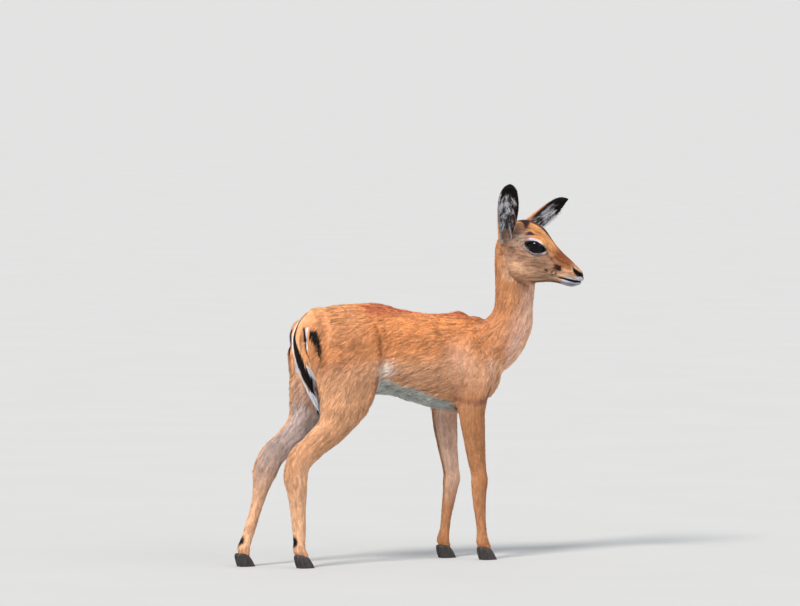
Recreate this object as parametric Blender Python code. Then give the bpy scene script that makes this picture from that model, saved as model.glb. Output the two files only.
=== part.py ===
"""A life-size standing impala lamb as a still museum model, in metres, +Z up.

The lamb faces +X with its left side at +Y, and turns its head to its right. The flesh is modelled
whole from lofted limbs, smoothed into one body, and parted into named nodes by thin cuts. The
tables are for a lamb 0.51 m high at the withers, and everything is scaled by the height asked for.
"""

import math
from collections import namedtuple

import bmesh
import bpy
from mathutils import Matrix, Vector

# Driving sizes of the lamb.
WITHERS_HEIGHT = 0.51
TABLE_HEIGHT = 0.51
SCALE = WITHERS_HEIGHT / TABLE_HEIGHT
EAR_LENGTH = 0.132
EAR_THICKNESS = 0.0030
EYE_RADIUS = 0.0190
EYE_SIDE = 0.0345
HOOF_LENGTH = 0.034
HOOF_WIDTH = 0.0130
HOOF_SPREAD = 0.0068
# A hoof's middle stands this far ahead of the end of its leg's path.
HOOF_AHEAD = 0.001
CUT = 0.0004
FLESH_VOXEL = 0.0045
FLESH_TRIANGLES = 3270
# The middle of the finished model's box, in the frame that the tables below are written in.
MODEL_ORIGIN = Vector((0.0358, -0.0351, 0.0))

# A cross-section of a limb: where it is, the half-width to each side, how far it reaches up (or
# forwards on a leg) and down (or backwards), how square it is, how much wider its upper half is
# than its lower half, and the heading that its side faces away from, in degrees.
Ring = namedtuple("Ring", "x y z wide up down square taper heading", defaults=(2.0, 0.0, 0.0))

TRUNK = [
    Ring(-0.199, 0, 0.456, 0.010, 0.020, 0.016),
    Ring(-0.193, 0, 0.450, 0.036, 0.061, 0.034, 2.0, 0.05),
    Ring(-0.176, 0, 0.440, 0.053, 0.088, 0.058, 2.1, 0.08),
    Ring(-0.140, 0, 0.433, 0.061, 0.0985, 0.078, 2.1, 0.08),
    Ring(-0.090, 0, 0.430, 0.062, 0.103, 0.088, 2.1, 0.0),
    Ring(-0.035, 0, 0.427, 0.060, 0.106, 0.084, 2.1, -0.08),
    Ring(0.020, 0, 0.422, 0.062, 0.098, 0.084, 2.1, -0.10),
    Ring(0.070, 0, 0.415, 0.065, 0.096, 0.091, 2.1, -0.10),
    Ring(0.120, 0, 0.407, 0.064, 0.103, 0.096, 2.0, -0.18),
    Ring(0.160, 0, 0.402, 0.059, 0.110, 0.096, 2.0, -0.20),
    Ring(0.200, 0, 0.402, 0.052, 0.101, 0.086, 2.0, -0.12),
    Ring(0.240, 0, 0.408, 0.041, 0.088, 0.062, 2.0, -0.05),
    Ring(0.264, 0, 0.412, 0.012, 0.022, 0.022),
]

NECK = [
    Ring(0.180, 0, 0.418, 0.042, 0.050, 0.060),
    Ring(0.232, 0, 0.452, 0.047, 0.046, 0.080, 2.0, -0.08),
    Ring(0.266, -0.003, 0.492, 0.042, 0.023, 0.073, 2.0, -0.08, -6),
    Ring(0.281, -0.011, 0.535, 0.037, 0.033, 0.053, 2.0, -0.05, -16),
    Ring(0.284, -0.023, 0.580, 0.035, 0.042, 0.047, 2.0, 0, -27),
    Ring(0.283, -0.036, 0.625, 0.035, 0.047, 0.042, 2.0, 0, -36),
    Ring(0.284, -0.045, 0.660, 0.032, 0.042, 0.034, 2.0, 0, -40),
    Ring(0.286, -0.048, 0.674, 0.014, 0.018, 0.016, 2.0, 0, -40),
]

# Half-width, reach forwards and reach backwards down a leg, shared by the two legs of a pair.
FORE_SIZES = [
    (0.0200, 0.0300, 0.0340),
    (0.0240, 0.0450, 0.0460),
    (0.0230, 0.0340, 0.0400),
    (0.0210, 0.0290, 0.0320),
    (0.0190, 0.0265, 0.0275),
    (0.0160, 0.0215, 0.0225),
    (0.0155, 0.0190, 0.0195),
    (0.0165, 0.0200, 0.0195),
    (0.0140, 0.0165, 0.0175),
    (0.0112, 0.0130, 0.0140),
    (0.0110, 0.0125, 0.0132),
    (0.0135, 0.0140, 0.0165),
    (0.0130, 0.0125, 0.0125),
    (0.0140, 0.0140, 0.0130),
]
FORE_RIGHT = [
    (0.152, -0.030, 0.455),
    (0.178, -0.040, 0.390),
    (0.173, -0.046, 0.335),
    (0.170, -0.048, 0.300),
    (0.174, -0.048, 0.262),
    (0.180, -0.047, 0.215),
    (0.185, -0.046, 0.185),
    (0.187, -0.046, 0.162),
    (0.188, -0.046, 0.130),
    (0.191, -0.046, 0.090),
    (0.194, -0.046, 0.056),
    (0.196, -0.046, 0.038),
    (0.202, -0.046, 0.026),
    (0.206, -0.046, 0.019),
]
FORE_LEFT = [
    (0.150, 0.030, 0.455),
    (0.170, 0.038, 0.390),
    (0.163, 0.041, 0.335),
    (0.158, 0.042, 0.300),
    (0.160, 0.042, 0.262),
    (0.166, 0.041, 0.215),
    (0.171, 0.041, 0.185),
    (0.172, 0.041, 0.162),
    (0.168, 0.041, 0.130),
    (0.161, 0.041, 0.090),
    (0.156, 0.041, 0.056),
    (0.153, 0.041, 0.038),
    (0.157, 0.041, 0.026),
    (0.160, 0.041, 0.019),
]
HIND_SIZES = [
    (0.0240, 0.0450, 0.0700),
    (0.0270, 0.0800, 0.0810),
    (0.0280, 0.0850, 0.0640),
    (0.0260, 0.0690, 0.0490),
    (0.0215, 0.0400, 0.0330),
    (0.0165, 0.0300, 0.0285),
    (0.0150, 0.0262, 0.0335),
    (0.0165, 0.0275, 0.0300),
    (0.0160, 0.0230, 0.0250),
    (0.0138, 0.0195, 0.0200),
    (0.0125, 0.0172, 0.0180),
    (0.0118, 0.0150, 0.0160),
    (0.0135, 0.0140, 0.0165),
    (0.0132, 0.0125, 0.0125),
    (0.0140, 0.0140, 0.0130),
]
# The left hind leg is slimmer below its hock, as it stands turned a little.
HIND_LEFT_SIZES = HIND_SIZES[:8] + [
    (0.0148, 0.0178, 0.0218),
    (0.0122, 0.0138, 0.0170),
    (0.0112, 0.0136, 0.0152),
    (0.0112, 0.0130, 0.0140),
] + HIND_SIZES[12:]
HIND_RIGHT = [
    (-0.122, -0.028, 0.480),
    (-0.128, -0.036, 0.425),
    (-0.132, -0.042, 0.375),
    (-0.142, -0.047, 0.332),
    (-0.163, -0.050, 0.286),
    (-0.203, -0.051, 0.250),
    (-0.234, -0.051, 0.218),
    (-0.246, -0.051, 0.188),
    (-0.2435, -0.051, 0.158),
    (-0.2425, -0.051, 0.125),
    (-0.2395, -0.051, 0.085),
    (-0.2385, -0.051, 0.053),
    (-0.238, -0.051, 0.038),
    (-0.231, -0.051, 0.026),
    (-0.227, -0.051, 0.019),
]
HIND_LEFT = [
    (-0.124, 0.028, 0.480),
    (-0.136, 0.036, 0.425),
    (-0.147, 0.041, 0.375),
    (-0.160, 0.045, 0.332),
    (-0.179, 0.047, 0.289),
    (-0.212, 0.048, 0.253),
    (-0.244, 0.048, 0.221),
    (-0.263, 0.048, 0.190),
    (-0.271, 0.048, 0.158),
    (-0.281, 0.048, 0.125),
    (-0.295, 0.048, 0.085),
    (-0.307, 0.048, 0.053),
    (-0.312, 0.048, 0.038),
    (-0.312, 0.048, 0.026),
    (-0.310, 0.048, 0.019),
]

TAIL = [
    Ring(-0.150, 0, 0.5195, 0.010, 0.007, 0.008),
    Ring(-0.170, 0, 0.5195, 0.010, 0.0078, 0.008),
    Ring(-0.189, 0, 0.5115, 0.011, 0.0085, 0.008),
    Ring(-0.207, 0, 0.493, 0.012, 0.009, 0.008),
    Ring(-0.2165, 0, 0.468, 0.015, 0.0095, 0.009),
    Ring(-0.2160, 0, 0.440, 0.016, 0.010, 0.0095),
    Ring(-0.2085, 0, 0.415, 0.016, 0.010, 0.0095),
    Ring(-0.198, 0, 0.390, 0.0145, 0.0095, 0.009),
    Ring(-0.186, 0, 0.362, 0.012, 0.008, 0.008),
    Ring(-0.173, 0, 0.334, 0.008, 0.006, 0.006),
    Ring(-0.165, 0, 0.313, 0.0025, 0.002, 0.002),
]

# The head has its own frame at eye level: along is forwards to the nose, rise is to the crown.
HEAD_HEADING = math.radians(-40)
HEAD_PITCH = math.radians(28)
EYE_LEVEL = Vector((0.313, -0.071, 0.643))
HeadRing = namedtuple("HeadRing", "along crown chin wide middle taper")
HEAD = [
    HeadRing(-0.078, -0.002, -0.034, 0.012, -0.016, 0.0),
    HeadRing(-0.070, 0.020, -0.048, 0.030, -0.012, 0.05),
    HeadRing(-0.051, 0.0365, -0.060, 0.040, -0.003, 0.10),
    HeadRing(-0.027, 0.0420, -0.073, 0.0430, 0.002, 0.14),
    HeadRing(-0.004, 0.0385, -0.078, 0.0430, 0.002, 0.16),
    HeadRing(0.016, 0.0285, -0.076, 0.0410, -0.005, 0.16),
    HeadRing(0.035, 0.0200, -0.066, 0.0345, -0.013, 0.13),
    HeadRing(0.052, 0.0145, -0.0555, 0.0280, -0.017, 0.08),
    HeadRing(0.070, 0.0104, -0.0480, 0.0235, -0.019, 0.0),
    HeadRing(0.086, 0.0060, -0.0445, 0.0215, -0.019, -0.04),
    HeadRing(0.098, 0.0024, -0.0420, 0.0205, -0.019, 0.0),
    HeadRing(0.107, -0.0030, -0.0360, 0.0180, -0.018, 0.05),
    HeadRing(0.1145, -0.0120, -0.0260, 0.0090, -0.018, 0.0),
]
# Swellings of the rump on each side: the middle and the three radii.
PIN_BONE = (-0.186, 0.034, 0.465, 0.0270, 0.0185, 0.0380)
# The flesh under the root of the tail: the middle and the three radii.
TAIL_HEAD = (-0.176, 0, 0.489, 0.0320, 0.0300, 0.0325)
# Swellings added to the head on each side: along, side, rise and the three radii.
ORBIT = (-0.001, 0.0345, 0.0050, 0.0270, 0.0130, 0.0220)
EAR_ROOT = (-0.064, 0.0300, -0.0060, 0.0190, 0.0115, 0.0220)
CHEEK = (-0.012, 0.0240, -0.0480, 0.0330, 0.0140, 0.0260)

# An ear from root to tip: how far along, half its width laid flat, and half the turn of its curl.
EarRing = namedtuple("EarRing", "along half curl")
EAR = [
    EarRing(-0.12, 0.0165, 125),
    EarRing(0.00, 0.0262, 118),
    EarRing(0.20, 0.0308, 107),
    EarRing(0.40, 0.0325, 96),
    EarRing(0.60, 0.0298, 80),
    EarRing(0.80, 0.0218, 60),
    EarRing(0.93, 0.0126, 48),
    EarRing(1.00, 0.0030, 44),
]
# The share of its radius that an ear's curl stands forwards of the ear's line, and how much
# thinner its rims are than its middle.
EAR_FORWARD = 0.45
EAR_RIM_THINNING = 0.55
# A toe's outlines from the sole up: height, and its length and width as shares of the hoof's.
TOE = ((0, 1, 1), (0.004, 1, 1), (0.013, 0.93, 0.98), (0.021, 0.8, 0.9), (0.027, 0.5, 0.6))
# The head is parted from the neck under this slope and behind this corner of its frame.
JAW_SLOPE = math.radians(20.8)
JAW_CORNER = (-0.032, 0, -0.094)
# Cuts that part a leg from the trunk: rear and front limits, the upright inner face, and the height
# of the sloping cut at the rear and at the front.
LEG_CUTS = {
    "fore_right": (0.126, 0.245, -0.018, 0.346, 0.352),
    "fore_left": (0.116, 0.245, 0.015, 0.346, 0.352),
    "hind_right": (-0.36, -0.047, -0.0001, 0.305, 0.352),
    "hind_left": (-0.36, -0.047, 0.0001, 0.305, 0.352),
}
# The neck is parted from the trunk by a plane: a point on it and the way it faces.
NECK_CUT = (Vector((0.238, 0, 0.500)), Vector((0.817, 0, 0.576)))
# Which way each ear points and faces, as along, left and rise in the head's frame.
EAR_RIGHT_POINTS = Vector((-0.218, -0.58, 0.78))
EAR_RIGHT_FACES = Vector((0.40, -0.63, -0.36))
EAR_LEFT_POINTS = Vector((0.46, 0.305, 0.86))
EAR_LEFT_FACES = Vector((0.82, -0.565, -0.08))

PAINTS = {
    "coat_rufous": (0.447, 0.205, 0.088),
    "ear_fur": (0.430, 0.215, 0.110),
    "tail_hair": (0.470, 0.290, 0.170),
    "eye_dark": (0.010, 0.008, 0.007),
    "hoof_horn": (0.022, 0.020, 0.019),
}


def slide_between(stations, at):
    """Catmull-Rom interpolation of every value of a table of rings, at being 0 to 1 along it."""
    spans = len(stations) - 1
    index = min(int(at * spans), spans - 1)
    t = at * spans - index
    before = stations[max(index - 1, 0)]
    here = stations[index]
    there = stations[index + 1]
    after = stations[min(index + 2, spans)]
    values = []
    for a, b, c, d in zip(before, here, there, after):
        slope_here = (c - a) / 2
        slope_there = (d - b) / 2
        values.append(
            (2 * t**3 - 3 * t**2 + 1) * b
            + (t**3 - 2 * t**2 + t) * slope_here
            + (3 * t**2 - 2 * t**3) * c
            + (t**3 - t**2) * slope_there
        )
    return type(here)(*values)


def mesh_object(name, bm):
    bmesh.ops.recalc_face_normals(bm, faces=bm.faces)
    mesh = bpy.data.meshes.new(name)
    bm.to_mesh(mesh)
    bm.free()
    mesh.shade_smooth()
    made = bpy.data.objects.new(name, mesh)
    bpy.context.scene.collection.objects.link(made)
    return made


def skin_rings(name, rings):
    """A closed mesh through rings of points, with a fan of triangles at each end."""
    bm = bmesh.new()
    loops = [[bm.verts.new(point) for point in points] for points in rings]
    for low, high in zip(loops, loops[1:]):
        for i in range(len(low)):
            j = (i + 1) % len(low)
            bm.faces.new((low[i], low[j], high[j], high[i]))
    for loop in (loops[0], loops[-1]):
        middle = sum((v.co for v in loop), Vector()) / len(loop)
        tip = bm.verts.new(middle)
        for i in range(len(loop)):
            bm.faces.new((loop[i], loop[(i + 1) % len(loop)], tip))
    return mesh_object(name, bm)


def outline(centre, side, rise, r, points):
    """Points of one cross-section: a superellipse that is wider above or below its centre."""
    made = []
    for i in range(points):
        turn = 2 * math.pi * i / points
        c, s = math.cos(turn), math.sin(turn)
        across = math.copysign(abs(c) ** (2 / r.square), c)
        height = math.copysign(abs(s) ** (2 / r.square), s)
        reach = r.up if height > 0 else r.down
        width = r.wide * (1 + r.taper * height)
        made.append(centre + side * (across * width) + rise * (height * reach))
    return made


def limb(name, stations, steps, points):
    """A loft along the smooth path of a table of rings, each ring square to the path."""
    nudge = 0.001
    rings = []
    for i in range(steps):
        at = i / (steps - 1)
        r = slide_between(stations, at)
        behind = slide_between(stations, max(at - nudge, 0))
        ahead = slide_between(stations, min(at + nudge, 1))
        along = Vector(ahead[:3]) - Vector(behind[:3])
        along.normalize()
        heading = math.radians(r.heading)
        side = Vector((-math.sin(heading), math.cos(heading), 0))
        side = (side - along * side.dot(along)).normalized()
        rings.append(outline(Vector(r[:3]), side, along.cross(side), r, points))
    return skin_rings(name, rings)


def leg(name, path, sizes):
    """A leg's loft. Its path runs downwards, so that the up side of each ring faces forwards."""
    return limb(name, [Ring(*place, *size) for place, size in zip(path, sizes)], 50, 22)


def head_axes():
    """The head's forward, left and upward directions."""
    level = Vector((math.cos(HEAD_HEADING), math.sin(HEAD_HEADING), 0))
    left = Vector((-level.y, level.x, 0))
    forward = level * math.cos(HEAD_PITCH) - Vector((0, 0, math.sin(HEAD_PITCH)))
    return forward, left, forward.cross(left)


def head_direction(parts):
    forward, left, upward = head_axes()
    return forward * parts[0] + left * parts[1] + upward * parts[2]


def head_point(along, side, rise):
    return EYE_LEVEL + head_direction((along, side, rise))


def head_form(steps=34, points=28):
    _, left, upward = head_axes()
    rings = []
    for i in range(steps):
        h = slide_between(HEAD, i / (steps - 1))
        section = Ring(0, 0, 0, h.wide, h.crown - h.middle, h.middle - h.chin, 2.15, h.taper)
        centre = head_point(h.along, 0, h.middle)
        rings.append(outline(centre, left, upward, section, points))
    return skin_rings("head_form", rings)


def ball(name, centre, radius, axes=None, stretch=(1, 1, 1), around=18):
    """A sphere, or with axes an egg that is stretched along them."""
    bm = bmesh.new()
    bmesh.ops.create_uvsphere(bm, u_segments=around, v_segments=around // 2, radius=radius)
    turn = Matrix(axes or ((1, 0, 0), (0, 1, 0), (0, 0, 1))).transposed()
    for v in bm.verts:
        v.co = centre + turn @ Vector(a * b for a, b in zip(v.co, stretch))
    return mesh_object(name, bm)


def head_swelling(name, swelling, side):
    along, out, rise, *radii = swelling
    return ball(name, head_point(along, side * out, rise), 1, head_axes(), radii)


def apply_modifiers(made):
    """Replaces an object's mesh with what its modifiers make of it."""
    graph = bpy.context.evaluated_depsgraph_get()
    mesh = bpy.data.meshes.new_from_object(made.evaluated_get(graph))
    made.modifiers.clear()
    made.data = mesh
    return made


def join(name, pieces):
    """One object that holds the shells of all the pieces, which are removed."""
    bm = bmesh.new()
    for piece in pieces:
        bm.from_mesh(piece.data)
        bpy.data.objects.remove(piece)
    return mesh_object(name, bm)


def fill_creases(made, rounds=22, rate=0.5):
    """Rounds the hollows where two limbs meet, by letting points move outwards only."""
    bm = bmesh.new()
    bm.from_mesh(made.data)
    for _ in range(rounds):
        bm.normal_update()
        moves = []
        for v in bm.verts:
            around = [e.other_vert(v).co for e in v.link_edges]
            middle = sum(around, Vector()) / len(around)
            outward = max((middle - v.co).dot(v.normal), 0)
            moves.append(v.normal * (outward * rate))
        for v, move in zip(bm.verts, moves):
            v.co += move
    bm.to_mesh(made.data)
    bm.free()


def thin_out(made, triangles):
    """Collapses edges until the mesh has about this many triangles."""
    collapse = made.modifiers.new("fewer_triangles", "DECIMATE")
    collapse.ratio = triangles / sum(len(p.vertices) - 2 for p in made.data.polygons)
    apply_modifiers(made)


def flesh_body():
    """The whole animal but for its ears, eyes and hooves, as one closed smooth mesh."""
    pieces = [
        limb("trunk_form", TRUNK, 40, 36),
        limb("neck_form", NECK, 26, 30),
        head_form(),
        leg("fore_right_form", FORE_RIGHT, FORE_SIZES),
        leg("fore_left_form", FORE_LEFT, FORE_SIZES),
        leg("hind_right_form", HIND_RIGHT, HIND_SIZES),
        leg("hind_left_form", HIND_LEFT, HIND_LEFT_SIZES),
    ]
    x, y, z, *radii = TAIL_HEAD
    pieces.append(ball("tail_head_form", Vector((x, y, z)), 1, None, radii))
    for side in (-1, 1):
        x, y, z, *radii = PIN_BONE
        pieces.append(ball("pin_bone_form", Vector((x, side * y, z)), 1, None, radii))
        pieces.append(head_swelling("orbit_form", ORBIT, side))
        pieces.append(head_swelling("ear_root_form", EAR_ROOT, side))
        pieces.append(head_swelling("cheek_form", CHEEK, side))
    flesh = join("flesh", pieces)
    remesh = flesh.modifiers.new("one_surface", "REMESH")
    remesh.mode = "VOXEL"
    remesh.voxel_size = FLESH_VOXEL
    apply_modifiers(flesh)
    fill_creases(flesh)
    smooth = flesh.modifiers.new("even_out", "LAPLACIANSMOOTH")
    smooth.iterations = 1
    smooth.lambda_factor = 0.25
    apply_modifiers(flesh)
    thin_out(flesh, FLESH_TRIANGLES)
    return flesh


def copy_of(made, name):
    copied = bpy.data.objects.new(name, made.data.copy())
    bpy.context.scene.collection.objects.link(copied)
    return copied


def grown(made, by):
    """A copy of an object, larger by the same distance all round."""
    copied = copy_of(made, made.name + "_grown")
    swell = copied.modifiers.new("swell", "DISPLACE")
    swell.mid_level = 0
    swell.strength = by
    return apply_modifiers(copied)


def combine(made, operation, cutters):
    """Applies one Boolean after another, in order."""
    for cutter in cutters:
        step = made.modifiers.new(operation, "BOOLEAN")
        step.operation = operation
        step.solver = "EXACT"
        step.object = cutter
        apply_modifiers(made)
    return made


def block(name, corner, forward, left, sizes):
    """A box from the middle of its rear lower edge, along two directions and their cross."""
    forward = forward.normalized()
    left = (left - forward * left.dot(forward)).normalized()
    up = forward.cross(left)
    bm = bmesh.new()
    bmesh.ops.create_cube(bm, size=1)
    for v in bm.verts:
        v.co = (
            corner
            + forward * ((v.co.x + 0.5) * sizes[0])
            + left * (v.co.y * sizes[1])
            + up * ((v.co.z + 0.5) * sizes[2])
        )
    return mesh_object(name, bm)


def head_block(name, gap):
    """Holds the head: its lower face runs under the jaw and its rear face behind the ears."""
    forward = head_direction((math.cos(JAW_SLOPE), 0, math.sin(JAW_SLOPE)))
    upward = head_direction((-math.sin(JAW_SLOPE), 0, math.cos(JAW_SLOPE)))
    corner = head_point(*JAW_CORNER) + (forward + upward) * gap
    return block(name, corner, forward, head_axes()[1], (0.4, 0.4, 0.4))


def slab_beyond(name, point, normal, gap):
    """A big box that holds everything beyond a plane, and starts a gap past it."""
    normal = normal.normalized()
    reach = 0.5
    up = Vector((0, 0, 1)) - normal * normal.z
    left = up.cross(normal)
    start = point + normal * gap - up.normalized() * (reach / 2)
    return block(name, start, normal, left, (reach, reach, reach))


def leg_box(name, rear, front, inner, rear_top, front_top, gap):
    """Holds a leg below a sloping cut, and outside an upright one."""
    bm = bmesh.new()
    side = math.copysign(1, inner)
    inner += side * gap
    outer = side * 0.2
    faces = []
    for x, top in ((rear + gap, rear_top), (front - gap, front_top)):
        corners = ((inner, -0.1), (outer, -0.1), (outer, top - gap), (inner, top - gap))
        faces.append([bm.verts.new((x, y, z)) for y, z in corners])
    bm.faces.new(faces[0])
    bm.faces.new(faces[1])
    for i in range(4):
        j = (i + 1) % 4
        bm.faces.new((faces[0][i], faces[0][j], faces[1][j], faces[1][i]))
    return mesh_object(name, bm)


def ear(name, root, points, faces):
    """A cupped leaf: a strip curled about the ear's line, tight at the root and open at the tip."""
    points = head_direction(points).normalized()
    faces = head_direction(faces)
    faces = (faces - points * faces.dot(points)).normalized()
    across = points.cross(faces)
    steps = 13
    columns = 11
    rings = []
    for i in range(steps):
        e = slide_between(EAR, i / (steps - 1))
        curl = math.radians(e.curl)
        radius = e.half / curl
        centre = root + points * (e.along * EAR_LENGTH)
        centre = centre + faces * (radius * EAR_FORWARD)
        outer = []
        inner = []
        for j in range(columns):
            turn = (2 * j / (columns - 1) - 1) * curl
            out = across * math.sin(turn) - faces * math.cos(turn)
            rim = 1 - EAR_RIM_THINNING * (turn / curl) ** 4
            thick = min(EAR_THICKNESS, radius * 0.5) * rim
            outer.append(centre + out * (radius + thick / 2))
            inner.append(centre + out * (radius - thick / 2))
        rings.append(outer + inner[::-1])
    return skin_rings(name, rings)


def toe(name, foot, side, points_round=14):
    """One horn toe: a stack of pointed outlines that lean back from the flat sole."""
    rings = []
    for height, length, width in TOE:
        points = []
        for i in range(points_round):
            turn = 2 * math.pi * i / points_round
            c, s = math.cos(turn), math.sin(turn)
            x = foot.x - 0.45 * height + c * HOOF_LENGTH / 2 * length * (1.06 if c > 0 else 0.94)
            bow = 1 - 0.30 * c if c > 0 else 1
            y = foot.y + side * (HOOF_SPREAD + 0.10 * c * HOOF_WIDTH)
            y += s * HOOF_WIDTH / 2 * width * bow
            points.append(Vector((x, y, height)))
        rings.append(points)
    return skin_rings(name, rings)


def finish(made, name, paint):
    """Names a node, gives it its paint, and moves it into the row's frame at its true size."""
    made.name = name
    made.data.name = name
    made.data.materials.clear()
    material = bpy.data.materials.get(paint)
    if material is None:
        material = bpy.data.materials.new(paint)
        material.use_nodes = True
        surface = material.node_tree.nodes["Principled BSDF"]
        surface.inputs["Base Color"].default_value = (*PAINTS[paint], 1)
        surface.inputs["Roughness"].default_value = 0.35 if paint == "eye_dark" else 0.75
    made.data.materials.append(material)
    made.data.transform(Matrix.Scale(SCALE, 4) @ Matrix.Translation(-MODEL_ORIGIN))
    made.data.shade_smooth()


def main():
    for old in list(bpy.data.objects):
        bpy.data.objects.remove(old)

    flesh = flesh_body()
    tail = limb("tail", TAIL, 20, 12)
    tail_groove = grown(tail, CUT)
    combine(flesh, "DIFFERENCE", [tail_groove])
    skin = grown(flesh, CUT)
    feet = {
        "fore_right": FORE_RIGHT,
        "fore_left": FORE_LEFT,
        "hind_right": HIND_RIGHT,
        "hind_left": HIND_LEFT,
    }
    hooves = {}
    for foot, path in feet.items():
        place = Vector((path[-1][0] + HOOF_AHEAD, path[-1][1], 0))
        for side, toe_name in ((-1, "right_toe"), (1, "left_toe")):
            hooves[f"hoof_{foot}_{toe_name}"] = toe(f"hoof_{foot}_{toe_name}", place, side)

    cutters = [skin, tail_groove]
    beyond_neck = slab_beyond("beyond_neck", *NECK_CUT, CUT)
    beyond_neck_wide = slab_beyond("beyond_neck_wide", *NECK_CUT, 0)
    head_inside = head_block("head_inside", CUT)
    head_around = head_block("head_around", 0)
    cutters += [beyond_neck, beyond_neck_wide, head_inside, head_around]

    eyes = {}
    sockets = []
    for side, side_name in ((-1, "right"), (1, "left")):
        centre = head_point(0.0, side * EYE_SIDE, 0.0025)
        eyes[side_name] = ball(f"eye_{side_name}", centre, EYE_RADIUS)
        sockets.append(ball("socket", centre, EYE_RADIUS + CUT))
    cutters += sockets

    trunk = copy_of(flesh, "trunk")
    combine(trunk, "DIFFERENCE", [beyond_neck_wide])
    for leg_name, cut in LEG_CUTS.items():
        inside = leg_box("leg_inside", *cut, CUT)
        around = leg_box("leg_around", *cut, 0)
        cutters += [inside, around]
        leg_node = combine(copy_of(flesh, "leg"), "INTERSECT", [inside])
        for hoof_name, hoof in hooves.items():
            if leg_name in hoof_name:
                pocket = grown(hoof, CUT)
                cutters.append(pocket)
                combine(leg_node, "DIFFERENCE", [pocket])
        combine(trunk, "DIFFERENCE", [around])
        finish(leg_node, f"leg_{leg_name}", "coat_rufous")
    finish(trunk, "trunk", "coat_rufous")

    neck = combine(copy_of(flesh, "neck"), "INTERSECT", [beyond_neck])
    combine(neck, "DIFFERENCE", [head_around])
    finish(neck, "neck", "coat_rufous")
    head = combine(copy_of(flesh, "head"), "INTERSECT", [head_inside])
    combine(head, "DIFFERENCE", sockets)
    finish(head, "head", "coat_rufous")

    ears = (
        ("right", head_point(-0.0670, -0.0335, -0.010), EAR_RIGHT_POINTS, EAR_RIGHT_FACES),
        ("left", head_point(-0.0605, 0.0335, -0.0055), EAR_LEFT_POINTS, EAR_LEFT_FACES),
    )
    for side_name, root, points, faces in ears:
        made = combine(ear("ear", root, points, faces), "DIFFERENCE", [skin])
        finish(made, f"ear_{side_name}", "ear_fur")
    finish(tail, "tail", "tail_hair")

    for side_name, eye in eyes.items():
        finish(eye, f"eye_{side_name}", "eye_dark")
    for hoof_name, hoof in hooves.items():
        finish(hoof, hoof_name, "hoof_horn")
    for used in cutters + [flesh]:
        bpy.data.objects.remove(used)


main()
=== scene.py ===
"""Looks of a standing impala lamb: one skin over the flesh, its coat of tufts, and its ears,
eyes, lids, lashes and hooves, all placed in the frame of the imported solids.

The tables repeat the solids' own. They are written in the solids' drawing frame, and place() moves
what is made from them into the row's frame by where the right eye's solid is.
"""

import math
from collections import namedtuple

import bmesh
import bpy
import numpy as np
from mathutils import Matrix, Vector
from mathutils.bvhtree import BVHTree


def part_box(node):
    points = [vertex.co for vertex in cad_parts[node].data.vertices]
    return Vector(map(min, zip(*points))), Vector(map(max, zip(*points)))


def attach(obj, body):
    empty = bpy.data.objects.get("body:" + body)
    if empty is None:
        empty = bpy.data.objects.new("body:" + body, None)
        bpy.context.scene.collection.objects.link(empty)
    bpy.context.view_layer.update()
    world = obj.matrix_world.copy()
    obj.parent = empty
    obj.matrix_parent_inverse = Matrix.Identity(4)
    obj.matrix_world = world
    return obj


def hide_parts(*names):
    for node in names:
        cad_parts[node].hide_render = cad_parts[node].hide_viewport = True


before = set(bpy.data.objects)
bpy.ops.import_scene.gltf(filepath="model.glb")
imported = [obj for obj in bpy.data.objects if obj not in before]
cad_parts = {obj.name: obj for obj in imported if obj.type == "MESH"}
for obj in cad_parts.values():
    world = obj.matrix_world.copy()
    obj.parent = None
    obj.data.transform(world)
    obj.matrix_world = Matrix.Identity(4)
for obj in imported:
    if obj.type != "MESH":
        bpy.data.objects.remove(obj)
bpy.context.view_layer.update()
rng = np.random.default_rng(20)

# Driving sizes of the solids, as the tables below are drawn.
EAR_LENGTH = 0.132
EAR_THICKNESS = 0.0030
EYE_SIDE = 0.0345
EYE_RISE = 0.0025
HOOF_LENGTH = 0.034
HOOF_WIDTH = 0.0130
HOOF_SPREAD = 0.0068
FLESH_VOXEL = 0.0045
SKIN_VOXEL = 0.0040

# A cross-section of a limb: where it is, the half-width to each side, how far it reaches up (or
# forwards on a leg) and down (or backwards), how square it is, how much wider its upper half is
# than its lower half, and the heading that its side faces away from, in degrees.
Ring = namedtuple("Ring", "x y z wide up down square taper heading", defaults=(2.0, 0.0, 0.0))

TRUNK = [
    Ring(-0.199, 0, 0.456, 0.010, 0.020, 0.016),
    Ring(-0.193, 0, 0.450, 0.036, 0.061, 0.034, 2.0, 0.05),
    Ring(-0.176, 0, 0.440, 0.053, 0.088, 0.058, 2.1, 0.08),
    Ring(-0.140, 0, 0.433, 0.061, 0.0985, 0.078, 2.1, 0.08),
    Ring(-0.090, 0, 0.430, 0.062, 0.103, 0.088, 2.1, 0.0),
    Ring(-0.035, 0, 0.427, 0.060, 0.106, 0.084, 2.1, -0.08),
    Ring(0.020, 0, 0.422, 0.062, 0.098, 0.084, 2.1, -0.10),
    Ring(0.070, 0, 0.415, 0.065, 0.096, 0.091, 2.1, -0.10),
    Ring(0.120, 0, 0.407, 0.064, 0.103, 0.096, 2.0, -0.18),
    Ring(0.160, 0, 0.402, 0.059, 0.110, 0.096, 2.0, -0.20),
    Ring(0.200, 0, 0.402, 0.052, 0.101, 0.086, 2.0, -0.12),
    Ring(0.240, 0, 0.408, 0.041, 0.088, 0.062, 2.0, -0.05),
    Ring(0.264, 0, 0.412, 0.012, 0.022, 0.022),
]

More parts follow.
